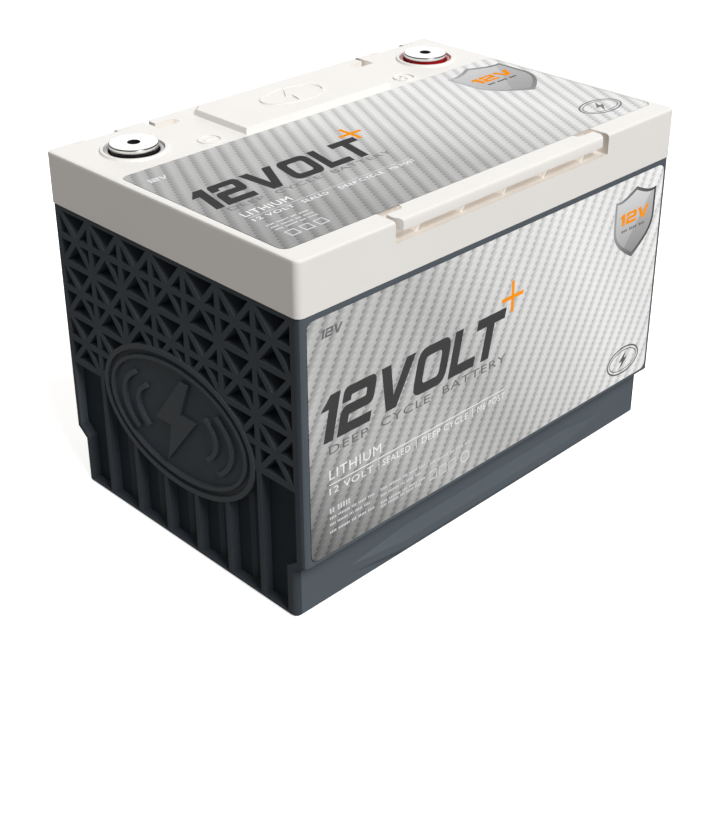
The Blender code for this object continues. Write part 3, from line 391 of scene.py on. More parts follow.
# ---------------------------------------- terminals
# Two turned brass terminals, nickel-chrome plated: a wide flat head on a barrel, a flange
# that the lid grips from below, a black or red sleeve on its neck and a tapped hole.
CHROME = (0.86, 0.86, 0.855)
HEAD_T = 1.9 * MM
HEAD_EDGE = 0.45 * MM
HEAD_OVER = 0.4 * MM  # how far the head stands out over its neck,
FLANGE_OVER = 3.2 * MM  # and the flange over the head
FLANGE_T = 3.5 * MM
STUD_R = 4.0 * MM
STUD_END = 0.6 * MM
STUD_LONG = 12.0 * MM
FLANGE_UNDER_TOP = 22.3 * MM
BORE_R = 2.9 * MM
BORE_MOUTH = 0.2 * MM
BORE_DEEP = 14.0 * MM
BORE_TIP_R = 0.6 * MM  # the drill leaves a cone under the thread
BORE_TIP = 1.6 * MM
THREAD_PITCH = 1.0 * MM
THREAD_DEEP = 0.35 * MM
AROUND = 120  # points round a turned piece
NECK_ROW = 5  # the rows of faces of the neck, of the rim's round and of
EDGE_ROW = 8  # the hole's first, counted up the outside of the profile
BORE_ROW = 10
CREASE = 0.12 * MM
SLEEVES = {"negative": (0.004, 0.004, 0.004), "positive": (0.36, 0.002, 0.004)}


def revolved(name, radius, height, centre, made, closed=False):
    """A turned surface. radius and height hold one row for each point of the profile and one
    column for each angle a, and the point is (cx + r cos a, cy + r sin a, z). The first and
    last rows are capped, or joined to each other when closed."""
    rows, columns = radius.shape
    angle = np.linspace(0.0, 2.0 * np.pi, columns, endpoint=False)[None, :]
    points = np.stack([centre[0] + radius * np.cos(angle), centre[1] + radius * np.sin(angle),
                       height], axis=-1).reshape(-1, 3)
    row = np.arange(rows if closed else rows - 1)[:, None]
    column = np.arange(columns)[None, :]
    ahead, across = (row + 1) % rows, (column + 1) % columns
    quads = np.stack([row * columns + column, row * columns + across,
                      ahead * columns + across, ahead * columns + column], axis=-1)
    faces = quads.reshape(-1, 4).tolist()
    if not closed:
        faces += [list(range(columns))[::-1], [(rows - 1) * columns + k for k in range(columns)]]
    mesh = bpy.data.meshes.new(name)
    mesh.from_pydata(points.tolist(), [], faces)
    work = bmesh.new()
    work.from_mesh(mesh)
    bmesh.ops.recalc_face_normals(work, faces=work.faces)
    work.to_mesh(mesh)
    work.free()
    mesh.materials.append(made)
    mesh.polygons.foreach_set("use_smooth", np.ones(len(mesh.polygons), bool))
    shaped = bpy.data.objects.new(name, mesh)
    scene.collection.objects.link(shaped)
    return shaped


def terminal_profile(top, flange):
    """Radius and height of the turned profile, from the stud's foot up over the head and down
    the hole, whose wall waves in and out by a thread: r + d * tri(z / pitch - a / turn)."""
    head = flange - FLANGE_OVER
    neck = head - HEAD_OVER
    under = top - FLANGE_UNDER_TOP
    outside = np.array([
        (STUD_R - STUD_END, under - STUD_LONG), (STUD_R, under - STUD_LONG + STUD_END),
        (STUD_R, under), (flange, under), (flange, under + FLANGE_T), (neck, under + FLANGE_T),
        (neck, top - HEAD_T - HEAD_OVER), (head, top - HEAD_T), (head, top - HEAD_EDGE),
        (head - HEAD_EDGE, top), (BORE_R + BORE_MOUTH, top), (BORE_R, top - BORE_MOUTH)])
    turns = np.arange(top - BORE_MOUTH, top - BORE_DEEP, -THREAD_PITCH / 8)[1:]
    angle = np.linspace(0.0, 2.0 * np.pi, AROUND, endpoint=False)[None, :]
    wave = np.abs(((turns[:, None] / THREAD_PITCH - angle / (2 * np.pi)) % 1.0) * 2.0 - 1.0)
    fade = np.clip((top - BORE_MOUTH - turns[:, None]) / THREAD_PITCH, 0.0, 1.0)
    fade = fade * np.clip((turns[:, None] - top + BORE_DEEP) / THREAD_PITCH, 0.0, 1.0)
    tapped = BORE_R - THREAD_DEEP * wave * fade
    foot = np.full((1, AROUND), BORE_TIP_R)
    radius = np.vstack([np.repeat(outside[:, :1], AROUND, 1), tapped, foot])
    height = np.vstack([np.repeat(outside[:, 1:], AROUND, 1), np.repeat(turns[:, None], AROUND, 1),
                        np.full((1, AROUND), top - BORE_DEEP - BORE_TIP)])
    return radius, height


def plated(name):
    """Bright plating over turned brass: a fine noise grain in its surface, and a slight drift in
    tone and polish."""
    made, tree, shader = blank(name)
    place = object_place(tree)
    coat(tree, shader, tinted(tree, CHROME, mottle(tree, place, 5 * MM, 2.0, 0.97, 1.03)),
         mottle(tree, place, 2 * MM, 2.0, 0.09, 0.15), 0.5, 1.0)
    raised(tree, mottle(tree, place, 0.3 * MM, 1.0, 0.0, 1.0), 0.0001 * MM, shader)
    return made


chrome = plated("terminal_bright_plating")
# the hole, its mouth and its thread are near-black and hardly glossy: painted shade in the hole
hole_painted_shade = finish("terminal_hole_painted_shade", (0.014, 0.014, 0.014), 0.6, 0.2 * MM, 0.002 * MM,
                      shine=0.02, spread=0.1)
# the round of the head's rim is dark metal: a painted dark reflection along the top edge
edge_dark_reflection = finish("terminal_edge_painted_reflection", (0.17, 0.17, 0.17), 0.20, 0.3 * MM, 0.0005 * MM,
                     metal=1.0, spread=0.05)
terminal_middle = {}
for pole in ("negative", "positive"):
    low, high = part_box(pole + "_terminal")
    terminal_middle[pole] = ((low.x + high.x) / 2, (low.y + high.y) / 2)
    radius, height = terminal_profile(high.z, (high.x - low.x) / 2)
    turned = revolved(pole + "_turned_terminal", radius, height, terminal_middle[pole], chrome)
    sleeve = finish(pole + "_sleeve", SLEEVES[pole], 0.22, 0.5 * MM, 0.001 * MM)
    for part_skin in (hole_painted_shade, edge_dark_reflection, sleeve):
        turned.data.materials.append(part_skin)
    row = np.arange(len(turned.data.polygons)) // AROUND
    share_out(turned, np.select([row >= BORE_ROW, row == EDGE_ROW, row == NECK_ROW], [1, 2, 3], 0))
    eased(turned, CREASE, math.radians(40))
    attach(turned, "root")
    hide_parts(pole + "_terminal")


# ---------------------------------------- terminal rings
# A pressed-in polarity ring round each terminal: moulded nylon with a crowned and finely
# ribbed top, pale grey at the negative one and pale red at the positive one.
RING_CROWN = 0.5 * MM
RING_WIDE = 2.1 * MM
RING_COLOURS = {"negative": (0.50, 0.50, 0.50), "positive": (0.56, 0.20, 0.20)}
RING_RIBS = {"negative": (0.34, 0.34, 0.345), "positive": (0.40, 0.055, 0.06)}
RIBS_AROUND = 72.0


def ring_profile(inner, outer, low, high):
    """A closed profile: straight walls and foot, and a top that rises and falls as a parabola
    across the ring's width."""
    across = np.linspace(0.0, 1.0, 13)
    crown = high - RING_CROWN * (2.0 * across - 1.0) ** 2
    radius = np.concatenate([[inner, outer], outer + (inner - outer) * across])
    height = np.concatenate([[low, low], crown])
    return np.repeat(radius[:, None], AROUND, 1), np.repeat(height[:, None], AROUND, 1)


def ribbed(name, colour, dark, centre):
    """Clear-topped nylon with fine ribs about the middle: the tone swings between the two
    colours as the sine of the angle times the number of ribs."""
    made, tree, shader = blank(name)
    place = object_place(tree)
    split = axes(tree, place)
    angle = calc(tree, "ARCTAN2", calc(tree, "SUBTRACT", split["Y"], centre[1]),
                 calc(tree, "SUBTRACT", split["X"], centre[0]))
    swing = calc(tree, "SINE", calc(tree, "MULTIPLY", angle, RIBS_AROUND))
    blend = tree.nodes.new("ShaderNodeMix")
    blend.data_type = "RGBA"
    blend.inputs["A"].default_value = dark + (1.0,)
    blend.inputs["B"].default_value = colour + (1.0,)
    tree.links.new(calc(tree, "MULTIPLY_ADD", swing, 0.5, 0.5), blend.inputs["Factor"])
    coat(tree, shader, blend.outputs["Result"], mottle(tree, place, 2 * MM, 2.0, 0.20, 0.28), 0.4)
    return made


for pole, colour in RING_COLOURS.items():
    low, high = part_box(pole + "_terminal_ring")
    outer = (high.x - low.x) / 2
    radius, height = ring_profile(outer - RING_WIDE, outer, low.z, high.z)
    gloss = ribbed(pole + "_ring_gloss", colour, RING_RIBS[pole], terminal_middle[pole])
    ring = revolved(pole + "_polarity_ring", radius, height, terminal_middle[pole], gloss,
                    closed=True)
    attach(ring, "root")
    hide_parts(pole + "_terminal_ring")


# ---------------------------------------- front label
# The front label: printed polyester film with a silver woven look that runs from grey at
# the lower left to near white at the right, carrying a rating in charcoal and small marks.
CHARCOAL = (0.055, 0.055, 0.058)
ORANGE = (1.0, 0.325, 0.002)
PALE = (0.90, 0.91, 0.92)
MID_GREY = (0.17, 0.17, 0.175)
SILVER = (0.68, 0.69, 0.70)
RIM_GREY = (0.12, 0.12, 0.125)
INK_T = 0.10  # the prints are drawn in mm
INK_SUNK = 0.06
TEXT_GAP = 1.12
FOIL_T = INK_T - 0.02  # on the badge the foil is thinner than the rim round it, and
LINES_T = INK_T + 0.02  # the lines and the rating stand over the foil
RATING_T = INK_T + 0.03
RIM_LAP = 0.05
DASH_COVER = 0.62
WEAVE_RISE = 2.75  # a scale's height, and a band's width and lean
WEAVE_PERIOD = 8.3
WEAVE_LEAN = 0.50
WEAVE_DEEP = 0.02 * MM
SCALE_BULGE = 0.17  # these four are parts of a band's width
SHADE_WIDE = 0.52
CREST_AT = 0.60
CREST_WIDE = 0.36
CREST_LIFT = 0.20
SHADE_ENDS, CREST_ENDS = 0.40, 0.35  # what is left of both at a scale's foot and head
CLOTH_DARK, CLOTH_FADE = 1.20, 0.60  # the weave shows less where the film is brighter
CORNER_AT = 117.0  # the lower left corner's shade runs along these slopes
CORNER_ACROSS, CORNER_UP = 0.9, 1.3
FOLD = 34.0  # the film's broad sheen comes and goes over this width
FOLD_LEAN = 0.45
FOLD_LOW, FOLD_RISE = 0.973, 0.0016
RIM_TONES = (0.36, 0.20, 0.12, 0.05)
SHEEN_FOOT = 2.0  # where the line of the badge's sheen starts, its slope, its
SHEEN_SLOPE = 1.29  # sharpness, and the brightness on its two sides
SHEEN_SHARP = 0.7
SHEEN_LOW, SHEEN_RISE = 0.80, 0.24
CORNER_STEPS = 6


def ramp(tree, value, low, high, stops):
    """A piecewise tone along value from low to high; stops are (value, tone) pairs."""
    spread = tree.nodes.new("ShaderNodeMapRange")
    spread.inputs["From Min"].default_value = low
    spread.inputs["From Max"].default_value = high
    tree.links.new(value, spread.inputs["Value"])
    tones = tree.nodes.new("ShaderNodeValToRGB")
    while len(tones.color_ramp.elements) < len(stops):
        tones.color_ramp.elements.new(0.5)
    for element, (at, tone) in zip(tones.color_ramp.elements, stops):
        element.position = (at - low) / (high - low)
        element.color = (tone, tone, tone, 1.0)
    tree.links.new(spread.outputs["Result"], tones.inputs["Fac"])
    return tones.outputs["Color"]


def woven_film(name, up, low, tones, shade, lean=0.75, deep=0.56):
    """Silver film printed with a twill of small scales. s counts the scales up a band and t
    the bands, each leaning to the right; a scale is dark by deep along its scalloped left
    edge and brightest past its middle. tones run along x + lean * height, and shade darkens
    the lower left corner."""
    made, tree, shader = blank(name)
    place = object_place(tree)
    split = axes(tree, place)
    x = calc(tree, "DIVIDE", split["X"], MM)
    h = calc(tree, "SUBTRACT", calc(tree, "DIVIDE", split[up], MM), low)
    s = calc(tree, "FRACT", calc(tree, "DIVIDE", h, WEAVE_RISE))
    s = calc(tree, "MULTIPLY_ADD", s, 2.0, -1.0)
    middle = calc(tree, "SUBTRACT", 1.0, calc(tree, "MULTIPLY", s, s))
    t = calc(tree, "DIVIDE", calc(tree, "SUBTRACT", x, calc(tree, "MULTIPLY", h, WEAVE_LEAN)),
             WEAVE_PERIOD)
    t = calc(tree, "FRACT", calc(tree, "MULTIPLY_ADD", middle, SCALE_BULGE, t))
    edge = calc(tree, "SUBTRACT", 1.0, calc(tree, "DIVIDE", t, SHADE_WIDE), clamp=True)
    ends = calc(tree, "MULTIPLY_ADD", middle, 1 - SHADE_ENDS, SHADE_ENDS)
    edge = calc(tree, "MULTIPLY", edge, ends)
    crest = calc(tree, "ABSOLUTE", calc(tree, "SUBTRACT", t, CREST_AT))
    crest = calc(tree, "SUBTRACT", 1.0, calc(tree, "DIVIDE", crest, CREST_WIDE), clamp=True)
    ends = calc(tree, "MULTIPLY_ADD", middle, 1 - CREST_ENDS, CREST_ENDS)
    crest = calc(tree, "MULTIPLY", crest, ends)
    weave = calc(tree, "MULTIPLY_ADD", edge, -deep, 1.0)
    weave = calc(tree, "MULTIPLY_ADD", crest, CREST_LIFT, weave)
    along = calc(tree, "MULTIPLY_ADD", h, lean, x)
    tone = ramp(tree, along, tones[0][0], tones[-1][0], tones)
    corner = calc(tree, "MULTIPLY_ADD", x, CORNER_ACROSS, CORNER_AT)
    corner = calc(tree, "MULTIPLY_ADD", h, CORNER_UP, corner)
    dim = ramp(tree, corner, shade[0][0], shade[-1][0], shade)
    fold = calc(tree, "PINGPONG", calc(tree, "MULTIPLY_ADD", h, FOLD_LEAN, x), FOLD)
    fold = calc(tree, "MULTIPLY_ADD", fold, FOLD_RISE, FOLD_LOW)
    depth = calc(tree, "MULTIPLY_ADD", tone, -CLOTH_FADE, CLOTH_DARK)
    cloth = calc(tree, "MULTIPLY_ADD", calc(tree, "SUBTRACT", weave, 1.0), depth, 1.0)
    light = calc(tree, "MULTIPLY", calc(tree, "MULTIPLY", tone, dim),
                 calc(tree, "MULTIPLY", cloth, fold))
    light = calc(tree, "MULTIPLY", light, mottle(tree, place, 1.1 * MM, 2.0, 0.985, 1.015))
    coat(tree, shader, tinted(tree, (0.990, 1.0, 1.005), light),
         mottle(tree, place, 12 * MM, 2.0, 0.30, 0.38), 0.30)
    raised(tree, weave, WEAVE_DEEP, shader)
    return made


def ink(name, colour, rough=0.42, shine=0.12):
    """Screen-printed ink: slightly uneven cover and a faint grain."""
    return finish(name, colour, rough, 0.4 * MM, 0.004 * MM, shine=shine, patch=7 * MM)


def rounded_outline(corners):
    """A closed outline through corners (x, y, r), or (x, y) for a sharp one: each is swept by
    the quadratic (1-t)^2 a + 2t(1-t) c + t^2 b from r before it to r after it."""
    at = np.array([corner[:2] for corner in corners], float)
    reach = np.array([corner[2] if len(corner) > 2 else 0.0 for corner in corners], float)
    back, ahead = np.roll(at, 1, 0) - at, np.roll(at, -1, 0) - at
    long_back, long_ahead = np.linalg.norm(back, axis=1), np.linalg.norm(ahead, axis=1)
    reach = np.minimum(reach, 0.49 * np.minimum(long_back, long_ahead))[:, None]
    a = at + back / long_back[:, None] * reach
    b = at + ahead / long_ahead[:, None] * reach
    t = np.linspace(0.0, 1.0, CORNER_STEPS)[None, :, None]
    swept = (1 - t) ** 2 * a[:, None] + 2 * t * (1 - t) * at[:, None] + t ** 2 * b[:, None]
    swept = swept.reshape(-1, 2)
    return swept[np.linalg.norm(swept - np.roll(swept, -1, 0), axis=1) > 1e-6]


def oblong(x0, y0, x1, y1):
    """The outline of a rectangle."""
    return rounded_outline([(x0, y0), (x1, y0), (x1, y1), (x0, y1)])


def plus_outline(across, up):
    """The outline of a plus sign: across holds its left, the two sides of its upright and
    its right, and up holds the same for its height."""
    (x0, x1, x2, x3), (y0, y1, y2, y3) = across, up
    return rounded_outline([(x1, y0), (x2, y0), (x2, y1), (x3, y1), (x3, y2), (x2, y2),
                            (x2, y3), (x1, y3), (x1, y2), (x0, y2), (x0, y1), (x1, y1)])


# Each block letter: its width and its outlines, for a height of one.
BLOCK_LETTERS = {
    "1": (0.62, [[(0.02, 0.70), (0.28, 1.0), (0.62, 1.0), (0.62, 0.0), (0.30, 0.0),
                  (0.30, 0.70)]]),
    "2": (1.15, [[(0.0, 0.68), (0.0, 1.0, 0.22), (1.15, 1.0, 0.22), (1.15, 0.39, 0.18),
                  (0.31, 0.39, 0.04), (0.31, 0.22), (1.15, 0.22), (1.15, 0.0), (0.0, 0.0),
                  (0.0, 0.61, 0.20), (0.84, 0.61, 0.05), (0.84, 0.79, 0.06), (0.30, 0.79, 0.04),
                  (0.30, 0.68)]]),
    "V": (1.25, [[(0.0, 1.0), (0.34, 1.0), (0.63, 0.30), (0.91, 1.0), (1.25, 1.0), (0.81, 0.0),
                  (0.44, 0.0)]]),
    "O": (1.25, [[(0.0, 0.0, 0.30), (1.25, 0.0, 0.30), (1.25, 1.0, 0.30), (0.0, 1.0, 0.30)],
                 [(0.31, 0.22, 0.12), (0.94, 0.22, 0.12), (0.94, 0.78, 0.12),
                  (0.31, 0.78, 0.12)]]),
    "L": (1.02, [[(0.0, 0.0), (0.0, 1.0), (0.31, 1.0), (0.31, 0.23), (1.02, 0.23), (1.02, 0.0)]]),
    "T": (1.15, [[(0.0, 1.0), (1.15, 1.0), (1.15, 0.77), (0.735, 0.77), (0.735, 0.0),
                  (0.415, 0.0), (0.415, 0.77), (0.0, 0.77)]]),
}


def block_text(text, x0, y0, x1, y1, slant=0.22, gap=0.13):
    """Outlines of plain block letters side by side, fitted to the box and leaned over:
    x + slant * y."""
    outlines, reach = [], 0.0
    for before, letter in zip(" " + text, text):
        width, loops = BLOCK_LETTERS[letter]
        reach -= 0.26 if before + letter == "LT" else 0.0
        outlines += [rounded_outline(loop) + np.array([reach, 0.0]) for loop in loops]
        reach += width + gap
    reach -= gap
    tall = y1 - y0
    wide = (x1 - x0 - slant * tall) / reach
    return [np.stack([x0 + o[:, 0] * wide + slant * o[:, 1] * tall, y0 + o[:, 1] * tall], 1)
            for o in outlines]


def dashes(x0, x1, y0, y1, words):
    """A row of plain dashes that stands in for small print: one for each letter of each word."""
    pitch = (x1 - x0) / (sum(words) + len(words) - 1)
    made, at = [], x0
    for letters in words:
        for n in range(letters):
            reach = at + pitch * DASH_COVER
            made.append(np.array([(at, y0), (reach, y0), (reach, y1), (at, y1)]))
            at += pitch
        at += pitch
    return made


def on_front(points):
    """From the front's own across, up and out to the frame: out is towards -Y."""
    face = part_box("front_label")[0].y
    return np.stack([points[:, 0] * MM, face - points[:, 2] * MM, points[:, 1] * MM], 1)


def printed(name, outlines, carry, made, thick=INK_T, text=None):
    """Ink of one colour on a label: outlines filled between an even and an odd crossing, or a
    line of text fitted to a box, thickened, made a mesh and carried on to its face."""
    if text:
        shape = bpy.data.curves.new(name, "FONT")
        shape.body = text[0]
        shape.space_character = TEXT_GAP
        shape.resolution_u = 3
    else:
        shape = bpy.data.curves.new(name, "CURVE")
        shape.dimensions = "2D"
        shape.fill_mode = "BOTH"
        for outline in outlines:
            spline = shape.splines.new("POLY")
            spline.points.add(len(outline) - 1)
            at = np.tile([0.0, 0.0, 0.0, 1.0], (len(outline), 1))
            at[:, :2] = outline
            spline.points.foreach_set("co", at.ravel())
            spline.use_cyclic_u = True
    shape.extrude = 0.5
    carrier = bpy.data.objects.new(name + "_flat", shape)
    scene.collection.objects.link(carrier)
    bpy.context.view_layer.update()
    mesh = bpy.data.meshes.new_from_object(
        carrier.evaluated_get(bpy.context.evaluated_depsgraph_get()))
    bpy.data.objects.remove(carrier)
    mesh.name = name
    points = np.empty(len(mesh.vertices) * 3, np.float32)
    mesh.vertices.foreach_get("co", points)
    points = points.reshape(-1, 3).astype(float)
    if text:
        low, high = points.min(0), points.max(0)
        box = np.array(text[1], float)
        part = (points[:, :2] - low[:2]) / (high - low)[:2]
        points[:, :2] = box[:2] + part * (box[2:] - box[:2])
    points[:, 2] = (points[:, 2] + 0.5) * thick - INK_SUNK
    mesh.vertices.foreach_set("co", carry(points).astype(np.float32).ravel())
    work = bmesh.new()
    work.from_mesh(mesh)
    bmesh.ops.remove_doubles(work, verts=work.verts, dist=0.001 * MM)
    bmesh.ops.recalc_face_normals(work, faces=work.faces)
    work.to_mesh(mesh)
    work.free()
    mesh.materials.clear()
    mesh.materials.append(made)
    inked = bpy.data.objects.new(name, mesh)
    scene.collection.objects.link(inked)
    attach(inked, "root")
    return inked


def shield_outline(x0, y0, x1, y1, inset=0.0):
    """A plain heater shield: a low peak between two shoulders, short straight sides, and
    two curves that meet in a point, as x falls by the cosine of a quarter turn while y falls
    evenly. inset draws it in."""
    cx, half = (x0 + x1) / 2, (x1 - x0) / 2 - inset
    top, foot = y1 - inset * 1.3, y0 + inset * 1.7
    tall = top - foot
    along = np.linspace(0.0, 1.0, 22)
    side_x = half * np.cos(along ** 1.35 * np.pi / 2)
    side_y = foot + tall * 0.56 * (1.0 - along)
    shoulder = top - tall * 0.115
    dip = np.linspace(1.0, 0.0, 9)[:-1]
    crest_y = top - tall * 0.135 * np.sin(dip * np.pi / 2) + tall * 0.02 * dip ** 6
    right = np.concatenate([np.stack([half * dip, crest_y], 1)[::-1],
                            [(half, shoulder)], np.stack([side_x, side_y], 1)[:-1]])
    left = right[1:][::-1] * np.array([-1.0, 1.0])
    outline = np.concatenate([[(0.0, top)], right[1:], [(0.0, foot)], left])
    return outline + np.array([cx, 0.0])


def bolt_outline(cx, cy, tall, lean):
    """A plain lightning bolt of six corners about a middle, leaned over: x + lean * y."""
    bolt = np.array([(0.10, 0.5), (-0.30, -0.06), (-0.04, -0.06), (-0.16, -0.5), (0.30, 0.10),
                     (0.04, 0.10)])
    bolt[:, 0] += lean * bolt[:, 1]
    return bolt * tall + np.array([cx, cy])


def oval(cx, cy, a, b):
    """The ellipse (cx + a cos t, cy + b sin t)."""
    turn = np.linspace(0, 2 * np.pi, 56, endpoint=False)
    return np.stack([cx + a * np.cos(turn), cy + b * np.sin(turn)], 1)


def emblem(x0, y0, x1, y1):
    """A plain battery-maker's oval: two thin rings and a bolt between them."""
    cx, cy, a, b = (x0 + x1) / 2, (y0 + y1) / 2, (x1 - x0) / 2, (y1 - y0) / 2
    rings = [oval(cx, cy, a - inset, b - inset) for inset in (0.0, 0.9, 2.0, 2.5)]
    return rings + [bolt_outline(cx, cy, b * 1.35, 0.3)]


front_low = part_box("front_label")[0].z / MM
front_film = woven_film(
    "front_label_film", "Z", front_low,
    [(-120, 0.46), (-100, 0.50), (20, 0.52), (40, 0.60), (62, 0.69), (85, 0.78), (120, 0.85),
     (190, 0.90)],
    [(16, 0.34), (42, 0.52), (66, 0.74), (92, 0.96), (112, 1.0)])
refinish(["front_label"], front_film)

charcoal_ink = ink("charcoal_ink", CHARCOAL)
orange_ink = ink("orange_ink", ORANGE)
pale_ink = ink("pale_ink", PALE)
grey_ink = ink("grey_ink", MID_GREY)
silver_ink = ink("silver_ink", SILVER)
rim_ink = ink("badge_rim_ink", RIM_GREY, 0.3)


def badge_rim(name, left, right):
    """The badge's raised rim: bright on its left, dark on its right."""
    made, tree, shader = blank(name)
    place = object_place(tree)
    x = calc(tree, "DIVIDE", axes(tree, place)["X"], MM)
    last = len(RIM_TONES) - 1
    tone = ramp(tree, x, left, right, [((left * (last - n) + right * n) / last, tone)
                                       for n, tone in enumerate(RIM_TONES)])
    coat(tree, shader, tinted(tree, (0.98, 1.0, 1.03), tone),
         mottle(tree, place, 4 * MM, 2.0, 0.24, 0.32), 0.3)
    return made


def badge_foil(name, up, low, high, left, dark, light):
    """Metallic foil on the badge: graded from light at its top to dark at its point, with a
    brighter sheen to the left of a slanted line that starts at left near its foot."""
    made, tree, shader = blank(name)
    place = object_place(tree)
    split = axes(tree, place)
    h = calc(tree, "DIVIDE", split[up], MM)
    x = calc(tree, "DIVIDE", split["X"], MM)
    tone = ramp(tree, h, low, high,
                [(low, dark), ((low + high) / 2, (dark + light) / 2), (high, light)])
    sweep = calc(tree, "SUBTRACT", calc(tree, "MULTIPLY_ADD", x, -SHEEN_SLOPE, h),
                 low + SHEEN_FOOT - SHEEN_SLOPE * left)
    gleam = calc(tree, "MULTIPLY", sweep, SHEEN_SHARP, clamp=True)
    gleam = calc(tree, "MULTIPLY_ADD", gleam, SHEEN_RISE, SHEEN_LOW)
    coat(tree, shader, tinted(tree, (1.0, 1.01, 1.03), calc(tree, "MULTIPLY", tone, gleam)),
         mottle(tree, place, 6 * MM, 2.0, 0.26, 0.34), 0.35)
    raised(tree, mottle(tree, place, 0.25 * MM, 1.0, 0.0, 1.0), 0.002 * MM, shader)
    return made


def badge(side, carry, corners, rim, rim_made, foil_made, rating, rating_made):
    """A shield with a raised rim, the foil inside it, and the rating on the foil."""
    printed(side + "_badge_rim", [shield_outline(*corners), shield_outline(*corners, rim)],
            carry, rim_made)
    printed(side + "_badge_face", [shield_outline(*corners, rim - RIM_LAP)], carry, foil_made,
            thick=FOIL_T)
    printed(side + "_badge_rating", block_text("12V", *rating, 0.0), carry, rating_made,
            thick=RATING_T)


def facts(side, carry, foot, top, spans):
    """Four plain words on one line, each between its own two ends."""
    for n, (word, (x0, x1)) in enumerate(zip(("12 VOLT", "SEALED", "DEEP CYCLE", "M6 POST"),
                                             spans)):
        printed(f"{side}_fact_{n}", None, carry, pale_ink, text=(word, (x0, foot, x1, top)))


SIDE_RATING = (91.3, 114.2)  # these stand alike on the front and the back
SIDE_PLUS = plus_outline((-1.5, 5.5, 7.5, 14.5), (110.2, 117.3, 119.3, 126.7))
SIDE_PURPOSE = ("DEEP  CYCLE  BATTERY", (-114.0, 84.6, 3.3, 88.8))
SIDE_BADGE = (85.2, 107.5, 119.7, 146.7)
SIDE_BADGE_RIM = 1.5
SIDE_FOIL = (110.0, 145.0)
SIDE_FOIL_TONES = (0.38, 0.72)
SIDE_BADGE_RATING = (89.5, 127.6, 114.5, 134.0)
SIDE_EMBLEM = (90.0, 37.0, 118.0, 53.7)
printed("front_rating", block_text("12VOLT", -122.5, SIDE_RATING[0], 2.5, SIDE_RATING[1]),
        on_front, charcoal_ink)
printed("front_volts", block_text("12V", -118.5, 142.5, -105.0, 146.7), on_front, grey_ink)
printed("front_plus", [SIDE_PLUS], on_front, orange_ink)
printed("front_purpose", None, on_front, grey_ink, text=SIDE_PURPOSE)
printed("front_rule", [oblong(-114, 68.7, 3.3, 69.15)]
        + [oblong(x, 63.0, x + 0.35, 67.8) for x in (-83.5, -59.0, -19.8)], on_front, pale_ink)
printed("front_kind", None, on_front, pale_ink, text=("LITHIUM", (-114.0, 71.4, -82.0, 76.4)))
facts("front", on_front, 63.7, 67.1, [(-114, -87), (-81, -63), (-55, -23), (-16, 4)])
front_small = dashes(-114, -101, 53.8, 56.6, [2, 5])
for x0, x1, rows in ((-114, -86, (50.6, 47.2, 43.2)), (-82, -52, (50.6, 47.2, 43.2, 41.2)),
                     (-49, -20, (49.2,))):
    for n, z in enumerate(rows):
        front_small += dashes(x0, x1 - 3.0 * (n % 2), z, z + 1.2, [4, 7, 3, 5, 4])
for n in range(3):
    x = -49.0 + 6.6 * n
    front_small += [oblong(x, 40.2, x + 5.0, 45.2), oblong(x + 0.5, 40.7, x + 4.5, 44.7)]
front_small += [oval(-24.0, 42.6, 3.4, 3.4), oval(-24.0, 42.6, 2.4, 2.4)]
printed("front_small_print", front_small, on_front, silver_ink)
badge("front", on_front, SIDE_BADGE, SIDE_BADGE_RIM,
      badge_rim("front_badge_rim_foil", SIDE_BADGE[0], SIDE_BADGE[2]),
      badge_foil("front_badge_foil", "Z", *SIDE_FOIL, 94.0, *SIDE_FOIL_TONES),
      SIDE_BADGE_RATING, orange_ink)
printed("front_badge_lines", dashes(92.0, 112.0, 123.6, 125.0, [3, 4, 3]), on_front, grey_ink,
        thick=LINES_T)
printed("front_emblem", emblem(*SIDE_EMBLEM), on_front, rim_ink)


# ---------------------------------------- top label
# The same film on the lid, between the platform and the front finger bay, with the same
# rating, badge and emblem a little smaller.
TOP_ROUGH = 0.6  # matt inks, for this face is seen at a low angle
TOP_CHARCOAL = tuple(0.95 * v for v in CHARCOAL)
TOP_ORANGE = tuple(0.84 * v for v in ORANGE)
TOP_BADGE = (80.5, -19.2, 122.5, 29.2)


def on_top(points):
    """From the top's own across, up and out to the frame: out is +Z."""
    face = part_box("top_label")[1].z
    return np.stack([points[:, 0] * MM, points[:, 1] * MM, face + points[:, 2] * MM], 1)


top_charcoal = ink("top_charcoal_ink", TOP_CHARCOAL, TOP_ROUGH, 0.0)
top_orange = ink("top_orange_ink", TOP_ORANGE, TOP_ROUGH, 0.0)
top_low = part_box("top_label")[0].y / MM
top_film = woven_film(
    "top_label_film", "Y", top_low,
    [(-120, 0.30), (-60, 0.32), (5, 0.36), (25, 0.42), (50, 0.49), (75, 0.56), (110, 0.61),
     (190, 0.63)],
    [(16, 0.82), (42, 0.87), (66, 0.93), (92, 1.01), (112, 1.09)], lean=0.8, deep=0.50)
refinish(["top_label"], top_film)
printed("top_rating", block_text("12VOLT", -123.0, -24.7, -16.0, -2.5), on_top, top_charcoal)
printed("top_volts", block_text("12V", -121.0, 18.7, -109.5, 22.4), on_top, silver_ink)
printed("top_plus", [plus_outline((-20.8, -14.8, -12.6, -6.7), (-6.3, 0.4, 2.6, 9.2))], on_top,
        top_orange)
printed("top_purpose", None, on_top, grey_ink,
        text=("DEEP  CYCLE  BATTERY", (-115.0, -30.3, -17.0, -26.7)))
printed("top_kind", None, on_top, pale_ink, text=("LITHIUM", (-115.0, -39.6, -88.0, -34.9)))
facts("top", on_top, -45.6, -42.9, [(-115, -92), (-87, -72), (-65, -38), (-33, -17)])
top_small = [oblong(-115, -41.4, -17, -41.1)]
